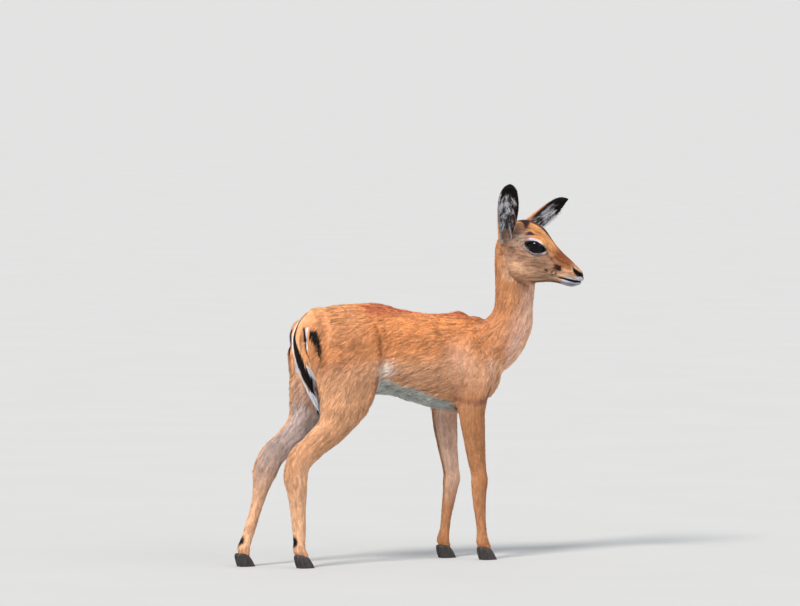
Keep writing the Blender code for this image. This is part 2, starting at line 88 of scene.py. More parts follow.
NECK = [
    Ring(0.180, 0, 0.418, 0.042, 0.050, 0.060),
    Ring(0.232, 0, 0.452, 0.047, 0.046, 0.080, 2.0, -0.08),
    Ring(0.266, -0.003, 0.492, 0.042, 0.023, 0.073, 2.0, -0.08, -6),
    Ring(0.281, -0.011, 0.535, 0.037, 0.033, 0.053, 2.0, -0.05, -16),
    Ring(0.284, -0.023, 0.580, 0.035, 0.042, 0.047, 2.0, 0, -27),
    Ring(0.283, -0.036, 0.625, 0.035, 0.047, 0.042, 2.0, 0, -36),
    Ring(0.284, -0.045, 0.660, 0.032, 0.042, 0.034, 2.0, 0, -40),
    Ring(0.286, -0.048, 0.674, 0.014, 0.018, 0.016, 2.0, 0, -40),
]

# Half-width, reach forwards and reach backwards down a leg, shared by the two legs of a pair.
FORE_SIZES = [
    (0.0200, 0.0300, 0.0340),
    (0.0240, 0.0450, 0.0460),
    (0.0230, 0.0340, 0.0400),
    (0.0210, 0.0290, 0.0320),
    (0.0190, 0.0265, 0.0275),
    (0.0160, 0.0215, 0.0225),
    (0.0155, 0.0190, 0.0195),
    (0.0165, 0.0200, 0.0195),
    (0.0140, 0.0165, 0.0175),
    (0.0112, 0.0130, 0.0140),
    (0.0110, 0.0125, 0.0132),
    (0.0135, 0.0140, 0.0165),
    (0.0130, 0.0125, 0.0125),
    (0.0140, 0.0140, 0.0130),
]
FORE_RIGHT = [
    (0.152, -0.030, 0.455),
    (0.178, -0.040, 0.390),
    (0.173, -0.046, 0.335),
    (0.170, -0.048, 0.300),
    (0.174, -0.048, 0.262),
    (0.180, -0.047, 0.215),
    (0.185, -0.046, 0.185),
    (0.187, -0.046, 0.162),
    (0.188, -0.046, 0.130),
    (0.191, -0.046, 0.090),
    (0.194, -0.046, 0.056),
    (0.196, -0.046, 0.038),
    (0.202, -0.046, 0.026),
    (0.206, -0.046, 0.019),
]
FORE_LEFT = [
    (0.150, 0.030, 0.455),
    (0.170, 0.038, 0.390),
    (0.163, 0.041, 0.335),
    (0.158, 0.042, 0.300),
    (0.160, 0.042, 0.262),
    (0.166, 0.041, 0.215),
    (0.171, 0.041, 0.185),
    (0.172, 0.041, 0.162),
    (0.168, 0.041, 0.130),
    (0.161, 0.041, 0.090),
    (0.156, 0.041, 0.056),
    (0.153, 0.041, 0.038),
    (0.157, 0.041, 0.026),
    (0.160, 0.041, 0.019),
]
HIND_SIZES = [
    (0.0240, 0.0450, 0.0700),
    (0.0270, 0.0800, 0.0810),
    (0.0280, 0.0850, 0.0640),
    (0.0260, 0.0690, 0.0490),
    (0.0215, 0.0400, 0.0330),
    (0.0165, 0.0300, 0.0285),
    (0.0150, 0.0262, 0.0335),
    (0.0165, 0.0275, 0.0300),
    (0.0160, 0.0230, 0.0250),
    (0.0138, 0.0195, 0.0200),
    (0.0125, 0.0172, 0.0180),
    (0.0118, 0.0150, 0.0160),
    (0.0135, 0.0140, 0.0165),
    (0.0132, 0.0125, 0.0125),
    (0.0140, 0.0140, 0.0130),
]
# The left hind leg is slimmer below its hock, as it stands turned a little.
HIND_LEFT_SIZES = HIND_SIZES[:8] + [
    (0.0148, 0.0178, 0.0218),
    (0.0122, 0.0138, 0.0170),
    (0.0112, 0.0136, 0.0152),
    (0.0112, 0.0130, 0.0140),
] + HIND_SIZES[12:]
HIND_RIGHT = [
    (-0.122, -0.028, 0.480),
    (-0.128, -0.036, 0.425),
    (-0.132, -0.042, 0.375),
    (-0.142, -0.047, 0.332),
    (-0.163, -0.050, 0.286),
    (-0.203, -0.051, 0.250),
    (-0.234, -0.051, 0.218),
    (-0.246, -0.051, 0.188),
    (-0.2435, -0.051, 0.158),
    (-0.2425, -0.051, 0.125),
    (-0.2395, -0.051, 0.085),
    (-0.2385, -0.051, 0.053),
    (-0.238, -0.051, 0.038),
    (-0.231, -0.051, 0.026),
    (-0.227, -0.051, 0.019),
]
HIND_LEFT = [
    (-0.124, 0.028, 0.480),
    (-0.136, 0.036, 0.425),
    (-0.147, 0.041, 0.375),
    (-0.160, 0.045, 0.332),
    (-0.179, 0.047, 0.289),
    (-0.212, 0.048, 0.253),
    (-0.244, 0.048, 0.221),
    (-0.263, 0.048, 0.190),
    (-0.271, 0.048, 0.158),
    (-0.281, 0.048, 0.125),
    (-0.295, 0.048, 0.085),
    (-0.307, 0.048, 0.053),
    (-0.312, 0.048, 0.038),
    (-0.312, 0.048, 0.026),
    (-0.310, 0.048, 0.019),
]

TAIL = [
    Ring(-0.150, 0, 0.5195, 0.010, 0.007, 0.008),
    Ring(-0.170, 0, 0.5195, 0.010, 0.0078, 0.008),
    Ring(-0.189, 0, 0.5115, 0.011, 0.0085, 0.008),
    Ring(-0.207, 0, 0.493, 0.012, 0.009, 0.008),
    Ring(-0.2165, 0, 0.468, 0.015, 0.0095, 0.009),
    Ring(-0.2160, 0, 0.440, 0.016, 0.010, 0.0095),
    Ring(-0.2085, 0, 0.415, 0.016, 0.010, 0.0095),
    Ring(-0.198, 0, 0.390, 0.0145, 0.0095, 0.009),
    Ring(-0.186, 0, 0.362, 0.012, 0.008, 0.008),
    Ring(-0.173, 0, 0.334, 0.008, 0.006, 0.006),
    Ring(-0.165, 0, 0.313, 0.0025, 0.002, 0.002),
]

# The head has its own frame at eye level: along is forwards to the nose, rise is to the crown.
HEAD_HEADING = math.radians(-40)
HEAD_PITCH = math.radians(28)
EYE_LEVEL = np.array((0.313, -0.071, 0.643))
HeadRing = namedtuple("HeadRing", "along crown chin wide middle taper")
HEAD = [
    HeadRing(-0.078, -0.002, -0.034, 0.012, -0.016, 0.0),
    HeadRing(-0.070, 0.020, -0.048, 0.030, -0.012, 0.05),
    HeadRing(-0.051, 0.0365, -0.060, 0.040, -0.003, 0.10),
    HeadRing(-0.027, 0.0420, -0.073, 0.0430, 0.002, 0.14),
    HeadRing(-0.004, 0.0385, -0.078, 0.0430, 0.002, 0.16),
    HeadRing(0.016, 0.0285, -0.076, 0.0410, -0.005, 0.16),
    HeadRing(0.035, 0.0200, -0.066, 0.0345, -0.013, 0.13),
    HeadRing(0.052, 0.0145, -0.0555, 0.0280, -0.017, 0.08),
    HeadRing(0.070, 0.0104, -0.0480, 0.0235, -0.019, 0.0),
    HeadRing(0.086, 0.0060, -0.0445, 0.0215, -0.019, -0.04),
    HeadRing(0.098, 0.0024, -0.0420, 0.0205, -0.019, 0.0),
    HeadRing(0.107, -0.0030, -0.0360, 0.0180, -0.018, 0.05),
    HeadRing(0.1145, -0.0120, -0.0260, 0.0090, -0.018, 0.0),
]
# Swellings of the rump on each side: the middle and the three radii.
PIN_BONE = (-0.186, 0.034, 0.465, 0.0270, 0.0185, 0.0380)
# The flesh under the root of the tail: the middle and the three radii.
TAIL_HEAD = (-0.176, 0, 0.489, 0.0320, 0.0300, 0.0325)
# Where the tail is set into the rump.
TAIL_SETTING = (-0.178, 0, 0.505)
# Swellings added to the head on each side: along, side, rise and the three radii.
ORBIT = (-0.001, 0.0345, 0.0050, 0.0270, 0.0130, 0.0220)
EAR_ROOT = (-0.064, 0.0300, -0.0060, 0.0190, 0.0115, 0.0220)
CHEEK = (-0.012, 0.0240, -0.0480, 0.0330, 0.0140, 0.0260)

# An ear from root to tip: how far along, half its width laid flat, and half the turn of its curl.
EarRing = namedtuple("EarRing", "along half curl")
EAR = [
    EarRing(-0.12, 0.0165, 125),
    EarRing(0.00, 0.0262, 118),
    EarRing(0.20, 0.0308, 107),
    EarRing(0.40, 0.0325, 96),
    EarRing(0.60, 0.0298, 80),
    EarRing(0.80, 0.0218, 60),
    EarRing(0.93, 0.0126, 48),
    EarRing(1.00, 0.0030, 44),
]
# The head is parted from the neck under this slope and behind this corner of its frame.
JAW_SLOPE = math.radians(20.8)
JAW_CORNER = (-0.032, 0, -0.094)
# Which way each ear points and faces, as along, left and rise in the head's frame.
EAR_RIGHT_POINTS = np.array((-0.218, -0.58, 0.78))
EAR_RIGHT_FACES = np.array((0.40, -0.63, -0.36))
EAR_LEFT_POINTS = np.array((0.46, 0.305, 0.86))
EAR_LEFT_FACES = np.array((0.82, -0.565, -0.08))

# How far the skin lies inside the solids, and the coat's length, by the part that it covers.
PARTS = ("trunk", "neck", "head", "fore", "hind", "tail")
COAT_DEPTH = np.array((0.0032, 0.0030, 0.0013, 0.0018, 0.0022, 0.0022))
COAT_LENGTH = np.array((0.0140, 0.0105, 0.0054, 0.0080, 0.0125, 0.0110))
COAT_WIDTH = np.array((0.00105, 0.00095, 0.00062, 0.00072, 0.00088, 0.00080))
COAT_LIFT = (10, 8, 11, 7, 8, 6)
# How strongly each part's coat is streaked: its own uneven tone, together with painted light and shade
# of its clumps.
COAT_STREAKS = np.array((1.0, 0.90, 1.10, 0.65, 0.90, 0.6))
# Locks to the square metre of each part.
COAT_DENSITY = np.array((330000, 400000, 900000, 420000, 400000, 600000))
# The size of the clumps that locks gather in, as a share of their length: short coat and long hair.
COAT_CLUMP = 0.45
HAIR_CLUMP = 0.40

# The eye's opening: where its middle is in the head's frame, its half-sizes and its tilt.
LID_MIDDLE = (0.0002, 0.0013)
LID_HALF = (0.0202, 0.0100)
LID_TILT = math.radians(10)
# How far the opening is pinched in towards its corners.
LID_PINCH = 0.35
LID_THICK = 0.0014
BALL_RADIUS = 0.0184
BALL_SIDE = 0.0333
# How far out from the head's middle the eye's shapes, and then its bare skin, fade in.
EYE_SHAPED = (0.016, 0.026)
EYE_BARE = (0.018, 0.026)
# The head lies within this distance of its frame's origin.
HEAD_REACH = 0.135

# Lines on the head, as along, side and rise in its frame. Each serves both sides.
NOSTRIL = ((0.0865, 0.0140, -0.0020), (0.0930, 0.0165, -0.0060), (0.1005, 0.0160, -0.0080),
           (0.1060, 0.0120, -0.0080), (0.1105, 0.0060, -0.0090))
NOSTRIL_HALF = (0.0014, 0.0040, 0.0050, 0.0046, 0.0026)
MOUTH = ((0.0700, 0.0205, -0.0335), (0.0820, 0.0205, -0.0300), (0.0925, 0.0200, -0.0275),
         (0.1025, 0.0170, -0.0250), (0.1085, 0.0120, -0.0220), (0.1130, 0.0050, -0.0205),
         (0.1140, 0.0000, -0.0200))
MOUTH_HALF = (0.0010, 0.0021, 0.0028, 0.0030, 0.0027, 0.0020, 0.0014)
TEAR_LINE = ((0.0260, 0.0360, 0.0020), (0.0330, 0.0350, -0.0025), (0.0430, 0.0320, -0.0050),
             (0.0520, 0.0290, -0.0105), (0.0580, 0.0260, -0.0150))
TEAR_LINE_HALF = (0.0026, 0.0034, 0.0028, 0.0030, 0.0034)
BROW_SPOT = ((-0.0270, 0.0425, 0.0140), (-0.0235, 0.0420, 0.0190), (-0.0180, 0.0410, 0.0220),
             (-0.0120, 0.0410, 0.0215))
BROW_SPOT_HALF = (0.0012, 0.0038, 0.0040, 0.0012)
REAR_TICK = ((-0.0285, 0.0420, -0.0095), (-0.0310, 0.0425, -0.0020))
CROWN_WEDGE = ((-0.0480, 0.0060, 0.0375), (-0.0410, 0.0200, 0.0365), (-0.0335, 0.0355, 0.0270))
CROWN_WEDGE_HALF = (0.0125, 0.0092, 0.0022)
CROWN_LINE = ((-0.0560, 0.0, 0.0350), (-0.0350, 0.0, 0.0415), (-0.0120, 0.0, 0.0405),
              (0.0100, 0.0, 0.0330), (0.0300, 0.0, 0.0215), (0.0610, 0.0, 0.0110))
CROWN_LINE_HALF = (0.0105, 0.0145, 0.0140, 0.0105, 0.0060, 0.0020)
# The pale ring round the eye: its outer edge's middle and half-sizes, along and up.
EYE_RING = (-0.0008, -0.0005, 0.0258, 0.0176)
# Spots of the face: the middle, the radius and the dye.
FACE_SPOTS = (
    ((0.0415, 0.0320, -0.0040), 0.0024, "spot_brown"),
    ((0.0660, 0.0195, 0.0000), 0.0017, "spot_brown"),
    ((0.0725, 0.0170, 0.0005), 0.0014, "spot_brown"),
    ((0.0580, 0.0260, -0.0160), 0.0058, "spot_black"),
    ((0.0630, 0.0250, -0.0160), 0.0052, "spot_black"),
    ((0.0430, 0.0290, -0.0325), 0.0034, "spot_black"),
    ((0.0570, 0.0220, -0.0380), 0.0018, "spot_black"),
)
# A broken dark ring at the corner of the mouth: its middle, its radius and its half-width.
MOUTH_RING = ((0.0575, 0.0245, -0.0305), 0.0048, 0.0019)
# The edge of the jaw, from below the ear to the throat: a groove, drawn with a dark line of painted
# shade.
JAW_EDGE = ((-0.060, 0.031, -0.028), (-0.054, 0.024, -0.044), (-0.038, 0.021, -0.063),
            (-0.020, 0.017, -0.078), (0.020, 0.002, -0.084))
JAW_EDGE_HALF = (0.0014, 0.0020, 0.0024, 0.0032, 0.0060)

# Lines on the rump and tail, in the drawing frame. The right buttock's stripe is given as if it
# were on the left.
RUMP_STRIPE = ((-0.198, 0.043, 0.477), (-0.193, 0.048, 0.465), (-0.190, 0.049, 0.455),
               (-0.188, 0.051, 0.440), (-0.187, 0.054, 0.425))
RUMP_STRIPE_HALF = (0.0104, 0.0078, 0.0062, 0.0048, 0.0014)
# The left buttock's stripe, which lies further round to the rear.
FAR_STRIPE = ((-0.208, 0.038, 0.477), (-0.211, 0.038, 0.460), (-0.212, 0.038, 0.437),
              (-0.211, 0.037, 0.424))
FAR_STRIPE_HALF = (0.0056, 0.0048, 0.0030, 0.0010)
# Beside the tail, on both sides: a white wedge and, nearer the tail, a thin black line that is painted
# shadow in the gap between tail and buttock.
WEDGE = ((-0.203, 0.020, 0.483), (-0.200, 0.018, 0.466), (-0.199, 0.017, 0.460),
         (-0.200, 0.018, 0.456), (-0.203, 0.022, 0.451), (-0.205, 0.022, 0.441))
WEDGE_HALF = (0.0050, 0.0061, 0.0062, 0.0056, 0.0046, 0.0012)
TAIL_CREASE = ((-0.207, 0.013, 0.485), (-0.203, 0.011, 0.465), (-0.202, 0.010, 0.459),
               (-0.204, 0.014, 0.452), (-0.206, 0.020, 0.442), (-0.206, 0.024, 0.433),
               (-0.205, 0.031, 0.425), (-0.203, 0.034, 0.415), (-0.200, 0.034, 0.404))
TAIL_CREASE_HALF = (0.0020, 0.0028, 0.0028, 0.0023, 0.0018, 0.0015, 0.0013, 0.0011, 0.0006)
TAIL_LINE = ((-0.168, 0.000, 0.529), (-0.188, -0.001, 0.521), (-0.209, -0.001, 0.499),
             (-0.218, -0.002, 0.484), (-0.224, -0.003, 0.463), (-0.223, -0.006, 0.445),
             (-0.219, -0.008, 0.428), (-0.212, -0.010, 0.411), (-0.204, -0.011, 0.393),
             (-0.194, -0.012, 0.376), (-0.182, -0.010, 0.353))
TAIL_LINE_HALF = (0.0008, 0.0010, 0.0014, 0.0022, 0.0039, 0.0060, 0.0082, 0.0096, 0.0096, 0.0084,
                  0.0020)
# The white zone beside the tail reaches this far from the middle, by height.
PERINEUM_RISE = (0.300, 0.376, 0.400, 0.415, 0.430)
PERINEUM_REACH = (0.026, 0.027, 0.028, 0.018, 0.000)
# The white of the belly starts below this height, by how far forwards.
BELLY_AT = (-0.140, -0.060, -0.042, -0.005, 0.042, 0.079, 0.118, 0.160, 0.220)
BELLY_RISE = (0.396, 0.394, 0.388, 0.372, 0.358, 0.344, 0.330, 0.312, 0.300)
# Darker and paler parts of each side, partly the coat's own tones and partly painted shade in hollows
# and round the elbow, with a painted highlight on the point of the shoulder: how far forwards, how
# high, the two half-sizes, the share and the dye.
SHADES = (
    (-0.005, 0.452, 0.110, 0.020, 0.34, "deep"),
    (-0.183, 0.436, 0.016, 0.032, 0.45, "deep"),
    (-0.160, 0.416, 0.034, 0.024, 0.30, "deep"),
    (-0.130, 0.445, 0.034, 0.030, 0.16, "deep"),
    # Painted shade in the hollow behind the shoulder.
    (0.110, 0.440, 0.040, 0.028, 0.22, "deep"),
    (0.137, 0.422, 0.034, 0.028, 0.48, "pale_shoulder_and_highlight"),
    # A painted highlight on the point of the shoulder.
    (0.212, 0.392, 0.016, 0.022, 0.60, "pale_shoulder_and_highlight"),
    # Painted shade in the hollow before the thigh, under the shoulder and round the elbow.
    (-0.062, 0.356, 0.028, 0.020, 0.38, "deep"),
    (0.135, 0.356, 0.050, 0.022, 0.28, "deep"),
    (0.158, 0.335, 0.026, 0.012, 0.60, "deep"),
    (0.203, 0.452, 0.022, 0.034, 0.35, "deep"),
    (0.222, 0.498, 0.032, 0.022, 0.45, "deep"),
    (0.175, 0.300, 0.012, 0.040, 0.30, "deep"),
)
# The front edge of the haunch, where it stands out from the flank.
HAUNCH_EDGE = ((-0.056, 0.043, 0.502), (-0.050, 0.053, 0.476), (-0.048, 0.060, 0.430),
               (-0.054, 0.057, 0.375), (-0.066, 0.057, 0.350), (-0.082, 0.060, 0.328))
# The fold under the shoulder, drawn as a dark line of painted shade, seen from the side, and its
# half-widths along it.
SHOULDER_FOLD = ((0.128, 0, 0.336), (0.150, 0, 0.331), (0.172, 0, 0.329), (0.188, 0, 0.330),
                 (0.198, 0, 0.336), (0.206, 0, 0.350), (0.214, 0, 0.366))
SHOULDER_FOLD_HALF = (0.0010, 0.0020, 0.0032, 0.0050, 0.0040, 0.0030, 0.0010)

# Swellings of the skin, and with a height below zero hollows: the middle, the three radii and the
# height. Each serves both sides. On the head: brow, tear pit, cheek, jaw muscle and muzzle.
HEAD_SWELLINGS = (
    ((-0.008, 0.043, 0.020), (0.022, 0.014, 0.006), 0.0012),
    ((0.031, 0.034, -0.002), (0.009, 0.010, 0.006), -0.0012),
    ((0.024, 0.030, -0.040), (0.015, 0.014, 0.012), -0.0014),
    ((-0.018, 0.036, -0.047), (0.020, 0.016, 0.020), 0.0012),
    ((0.066, 0.020, 0.000), (0.020, 0.010, 0.006), -0.0006),
)
CHEEKBONE = ((-0.030, 0.042, -0.024), (0.000, 0.041, -0.026), (0.034, 0.034, -0.019),
             (0.056, 0.026, -0.020))
# On the body: shoulder, its point, the hollow behind it, haunch, lower flank and flank fold.
BODY_SWELLINGS = (
    ((0.170, 0.052, 0.440), (0.030, 0.030, 0.060), 0.0022),
    ((0.205, 0.050, 0.385), (0.022, 0.030, 0.026), 0.0026),
    ((0.118, 0.056, 0.430), (0.012, 0.030, 0.050), -0.0022),
    ((-0.138, 0.060, 0.430), (0.036, 0.030, 0.055), 0.0030),
    ((-0.020, 0.060, 0.380), (0.050, 0.030, 0.022), 0.0014),
    ((-0.030, 0.058, 0.402), (0.014, 0.030, 0.014), 0.0022),
)

# Coat colours, as they are named on a screen from 0 to 255.
COLOURS = {
    "saddle": (198, 115, 78),
    # A darker coat colour, also used as painted shade.
    "deep": (146, 82, 42),
    "back": (230, 150, 95),
    "flank": (222, 150, 98),
    "low_flank": (212, 157, 120),
    # Pale shoulder hair, also used as a painted highlight on the point of the shoulder.
    "pale_shoulder_and_highlight": (236, 186, 162),
    "rump": (219, 151, 104),
    "thigh": (216, 160, 120),
    "fold": (250, 234, 222),
    # The belly's white, greyed and greened as painted shade and painted reflected light.
    "belly": (184, 187, 180),
    # Pale inner leg hair, greyed as painted shade.
    "inner_leg_and_shade": (184, 162, 154),
    "inner_thigh": (196, 160, 140),
    "inner_fore": (228, 190, 168),
    "perineum": (226, 226, 236),
    "fore_leg": (174, 120, 82),
    "hind_leg": (226, 174, 136),
    "knee": (176, 106, 58),
    "neck": (240, 190, 168),
    "nape": (196, 136, 94),
    "throat": (232, 186, 146),
    # The chest's paler hair, with painted light where it faces forwards.
    "chest": (250, 192, 150),
    "cheek": (173, 133, 108),
    "cheek_low": (212, 166, 132),
    "forehead": (214, 148, 94),
    "muzzle_top": (122, 62, 30),
    "muzzle_side": (186, 143, 114),
    "nose_top": (196, 150, 118),
    "tear_brown": (112, 64, 38),
    "jaw": (168, 140, 112),
    # Dark hair under the jaw, and also painted shade under it and along the jaw's edge.
    "jaw_dark_and_shade": (88, 62, 44),
    "chin": (172, 174, 184),
    "lip": (192, 190, 202),
    "eye_bright": (240, 230, 232),
    "eye_white": (200, 188, 198),
    "eye_pale": (158, 138, 130),
    "temple": (176, 156, 142),
    # The dark marks over and behind the eye, and also the painted shade in the fold under the shoulder.
    "brow_mark_and_fold_shade": (76, 46, 54),
    # Grey hair at the ear's root, and also painted shade there.
    "ear_base_and_shade": (150, 132, 120),
    "ear_back": (250, 180, 134),
    "ear_inner": (250, 244, 254),
    "ear_hair": (255, 252, 255),
    "tail_tan": (226, 168, 120),
    "tail_white": (230, 232, 242),
    "black": (14, 9, 8),
    # Black of the buttocks' stripes, and also the painted shadow line beside the tail.
    "stripe": (22, 14, 12),
    "crown": (62, 40, 46),
    "spot_black": (34, 19, 16),
    "spot_brown": (112, 66, 40),
    "eyeball": (7, 6, 9),
    "iris": (15, 11, 13),
    "pupil": (4, 6, 13),
    "lid_black": (14, 11, 11),
    "lid_brown": (34, 26, 25),
    "horn_black": (24, 21, 20),
    "horn_grey": (62, 54, 50),
    "floor_low": (187, 186, 184),
    "floor_high": (189, 188, 186),
}


def linear(colour):
    """A screen colour from 0 to 255 as the linear light that a shader takes."""
    part = np.asarray(colour, float) / 255
    return np.where(part > 0.04045, ((part + 0.055) / 1.055) ** 2.4, part / 12.92)


DYES = {name: linear(colour) for name, colour in COLOURS.items()}


def unit(vectors):
    """Each vector divided by its length."""
    return vectors / np.maximum(np.linalg.norm(vectors, axis=-1, keepdims=True), 1e-9)


def dot(first, second):
    """The dot product of each pair of vectors, kept as a column."""
    return (first * second).sum(-1, keepdims=True)


def square_to(vectors, axes):
    """Unit vectors as near to these as can be, square to the axes."""
    return unit(vectors - axes * dot(vectors, axes))


def round_turn(count):
    """Angles evenly round a circle."""
    return np.linspace(0, 2 * math.pi, count, endpoint=False)


def ease(low, high, values):
    """Smoothly from 0 at low to 1 at high, as t * t * (3 - 2t)."""
    t = np.clip((values - low) / (high - low), 0, 1)
    return t * t * (3 - 2 * t)


def hump(middle, half, values):
    """A bell: 1 at its middle and exp(-1) half a width away."""
    return np.exp(-(((values - middle) / half) ** 2))


def dyed(colours, dye, share):
    """The colours, changed to a dye by a share from 0 to 1."""
    share = np.clip(share, 0, 1)[:, None]
    return colours * (1 - share) + DYES[dye] * share


def drift(points, cell, seed):
    """Smooth random values from -1 to 1: a number for each corner of a lattice, eased between."""
    places = points / cell + seed * 7.31
    corner = np.floor(places).astype(np.int64)
    t = places - corner
    t = t * t * (3 - 2 * t)
    total = np.zeros(len(points))
    for offset in np.ndindex(2, 2, 2):
        at = corner + offset
        mixed = at[:, 0] * 73856093 ^ at[:, 1] * 19349663 ^ at[:, 2] * 83492791 ^ seed * 2654435
        mixed = (mixed ^ (mixed >> 13)) * 1274126177
        value = ((mixed ^ (mixed >> 16)) & 65535) / 32767.5 - 1
        total += value * np.where(offset, t, 1 - t).prod(1)
    return total


def spline(table, at):
    """Catmull-Rom values of every column of a table, at places from 0 to 1 along it."""
    rows = np.asarray(table, float)
    spans = len(rows) - 1
    place = np.clip(at, 0, 1) * spans
    index = np.minimum(place.astype(int), spans - 1)
    t = (place - index)[:, None]
    here = rows[index]
    there = rows[index + 1]
    slope_here = (there - rows[np.maximum(index - 1, 0)]) / 2
    slope_there = (rows[np.minimum(index + 2, spans)] - here) / 2
    return (
        (2 * t**3 - 3 * t**2 + 1) * here
        + (t**3 - 2 * t**2 + t) * slope_here
        + (3 * t**2 - 2 * t**3) * there
        + (t**3 - t**2) * slope_there
    )


def to_line(points, line):
    """How far each point is from a chain of straight lengths, and how far along it from 0 to 1."""
    line = np.asarray(line, float)
    gap = np.full(len(points), np.inf)
    place = np.zeros(len(points))
    for i, (start, end) in enumerate(zip(line, line[1:])):
        span = end - start
        t = np.clip((points - start) @ span / (span @ span), 0, 1)
        here = np.linalg.norm(points - start - t[:, None] * span, axis=1)
        closer = here < gap
        gap = np.where(closer, here, gap)
        place = np.where(closer, (i + t) / (len(line) - 1), place)
    return gap, place


def stripe(points, line, half, soft):
    """1 on a line of a given half-width, which may be several along it, easing to 0 beside it."""
    gap, place = to_line(points, line)
    halves = np.atleast_1d(half)
    width = np.interp(place, np.linspace(0, 1, len(halves)), halves)
    return 1 - ease(0, 1, (gap - width + soft) / (2 * soft))


def side_stripe(h, line, half, soft):
    """A stripe on the head seen from the side: only along and rise count, away from the middle."""
    flat = np.array((1, 0, 1))
    return stripe(h * flat, line * flat, half, soft) * ease(0.001, 0.003, h[:, 1])


# ---- shapes -------------------------------------------------------------------------------------


def sections(centre, side, rise, wide, up, down, square, taper, points):
    """A grid of superellipses: centre + side * wide * cos^p + rise * (up or down) * sin^p, where
    the power p is 2 / square, and taper widens the upper half and narrows the lower one."""
    turn = round_turn(points)
    c, s = np.cos(turn), np.sin(turn)
    power = (2 / square)[:, None]
    across = np.sign(c) * np.abs(c) ** power
    height = np.sign(s) * np.abs(s) ** power
    reach = np.where(height > 0, up[:, None], down[:, None]) * height
    width = wide[:, None] * (1 + taper[:, None] * height) * across
    return centre[:, None] + side[:, None] * width[..., None] + rise[:, None] * reach[..., None]


def limb(table, steps, points):
    """A loft along a table of rings, each ring square to the path, and the path's direction."""
    table = np.array(table)
    at = np.linspace(0, 1, steps)
    nudge = 0.001
    rows = spline(table, at)
    along = unit(spline(table, at + nudge)[:, :3] - spline(table, at - nudge)[:, :3])
    heading = np.radians(rows[:, 8])
    side = np.stack((-np.sin(heading), np.cos(heading), 0 * heading), 1)
    side = square_to(side, along)
    grid = sections(rows[:, :3], side, np.cross(along, side), *rows[:, 3:8].T, points)
    return grid, along


def leg(path, sizes, steps=60, points=32):
    """A leg's loft, from its path and the sizes that it shares."""
    return limb([Ring(*place, *size) for place, size in zip(path, sizes)], steps, points)


HEAD_LEVEL = np.array((math.cos(HEAD_HEADING), math.sin(HEAD_HEADING), 0))
HEAD_LEFT = np.array((-HEAD_LEVEL[1], HEAD_LEVEL[0], 0))
HEAD_FORWARD = HEAD_LEVEL * math.cos(HEAD_PITCH) - np.array((0, 0, math.sin(HEAD_PITCH)))
HEAD_AXES = np.array((HEAD_FORWARD, HEAD_LEFT, np.cross(HEAD_FORWARD, HEAD_LEFT)))


def from_head(parts):
    """Points given as along, left and rise in the head's frame."""
    return EYE_LEVEL + np.asarray(parts) @ HEAD_AXES


def in_head(points):
    """Along, left and rise in the head's frame of points in the drawing frame."""
    return (points - EYE_LEVEL) @ HEAD_AXES.T


def head_form(steps=64, points=44):
    """The head's loft, whose rings stand square to its forward axis."""
    h = spline(HEAD, np.linspace(0, 1, steps)).T
    along, crown, chin, wide, middle, taper = h
    zero = 0 * along
    centre = from_head(np.stack((along, zero, middle), 1))
    side = np.tile(HEAD_AXES[1], (steps, 1))
    rise = np.tile(HEAD_AXES[2], (steps, 1))
    square = zero + 2.15
    grid = sections(centre, side, rise, wide, crown - middle, middle - chin, square, taper, points)
    return grid, np.tile(HEAD_AXES[0], (steps, 1))


def both_sides(points):
    """Points with both sides laid on the left one."""
    return points * (1, 0, 1) + np.abs(points) * (0, 1, 0)


def egg(centre, radii, axes=None, steps=20, points=28):
    """An egg's grid: rings of radius sin(t) at height cos(t), stretched along three axes."""
    axes = np.eye(3) if axes is None else axes
    tip = 0.06
    t = np.linspace(tip, math.pi - tip, steps)[:, None]
    turn = round_turn(points)[None]
    parts = (np.sin(t) * np.cos(turn), np.sin(t) * np.sin(turn), np.cos(t) + 0 * turn)
    return np.asarray(centre) + (np.stack(parts, -1) * radii) @ axes


def tube_faces(rings, columns):
    """Four-sided faces between neighbouring rings of a closed tube, as rows of point numbers."""
    ring, column = np.meshgrid(np.arange(rings - 1), np.arange(columns), indexing="ij")
    here = ring * columns + column
    beside = ring * columns + (column + 1) % columns
    return np.stack((here, beside, beside + columns, here + columns), -1).reshape(-1, 4)


def shell(grid):
    """Points and faces of a closed tube through a grid of rings, with a face at each end."""
    rings, columns = grid.shape[:2]
    first = list(range(columns))[::-1]
    last = list(range((rings - 1) * columns, rings * columns))
    return grid.reshape(-1, 3), tube_faces(rings, columns).tolist() + [first, last]


def joined(shells):
    """One list of points and one of faces from several."""
    points, faces, count = [], [], 0
    for some_points, some_faces in shells:
        points.append(some_points)
        faces += [[number + count for number in face] for face in some_faces]
        count += len(some_points)
    return np.concatenate(points), faces


def in_scene(name, data):
    """A new object with this data, linked into the scene."""
    made = bpy.data.objects.new(name, data)
    bpy.context.scene.collection.objects.link(made)
    return made


def object_of(name, points, faces):
    """A new object with this mesh, its faces shaded smooth."""
    mesh = bpy.data.meshes.new(name)
    mesh.from_pydata(points.tolist(), [], faces if isinstance(faces, list) else faces.tolist())
    mesh.shade_smooth()
    return in_scene(name, mesh)


def mesh_points(mesh):
    """The places of a mesh's points, as rows."""
    values = np.empty(len(mesh.vertices) * 3, np.float32)
    mesh.vertices.foreach_get("co", values)
    return values.reshape(-1, 3).astype(float)


def mesh_faces(mesh, corners):
    """The point numbers of a mesh's faces, as rows of so many corners."""
    values = np.empty(len(mesh.polygons) * corners, np.int32)
    mesh.polygons.foreach_get("vertices", values)
    return values.reshape(-1, corners)


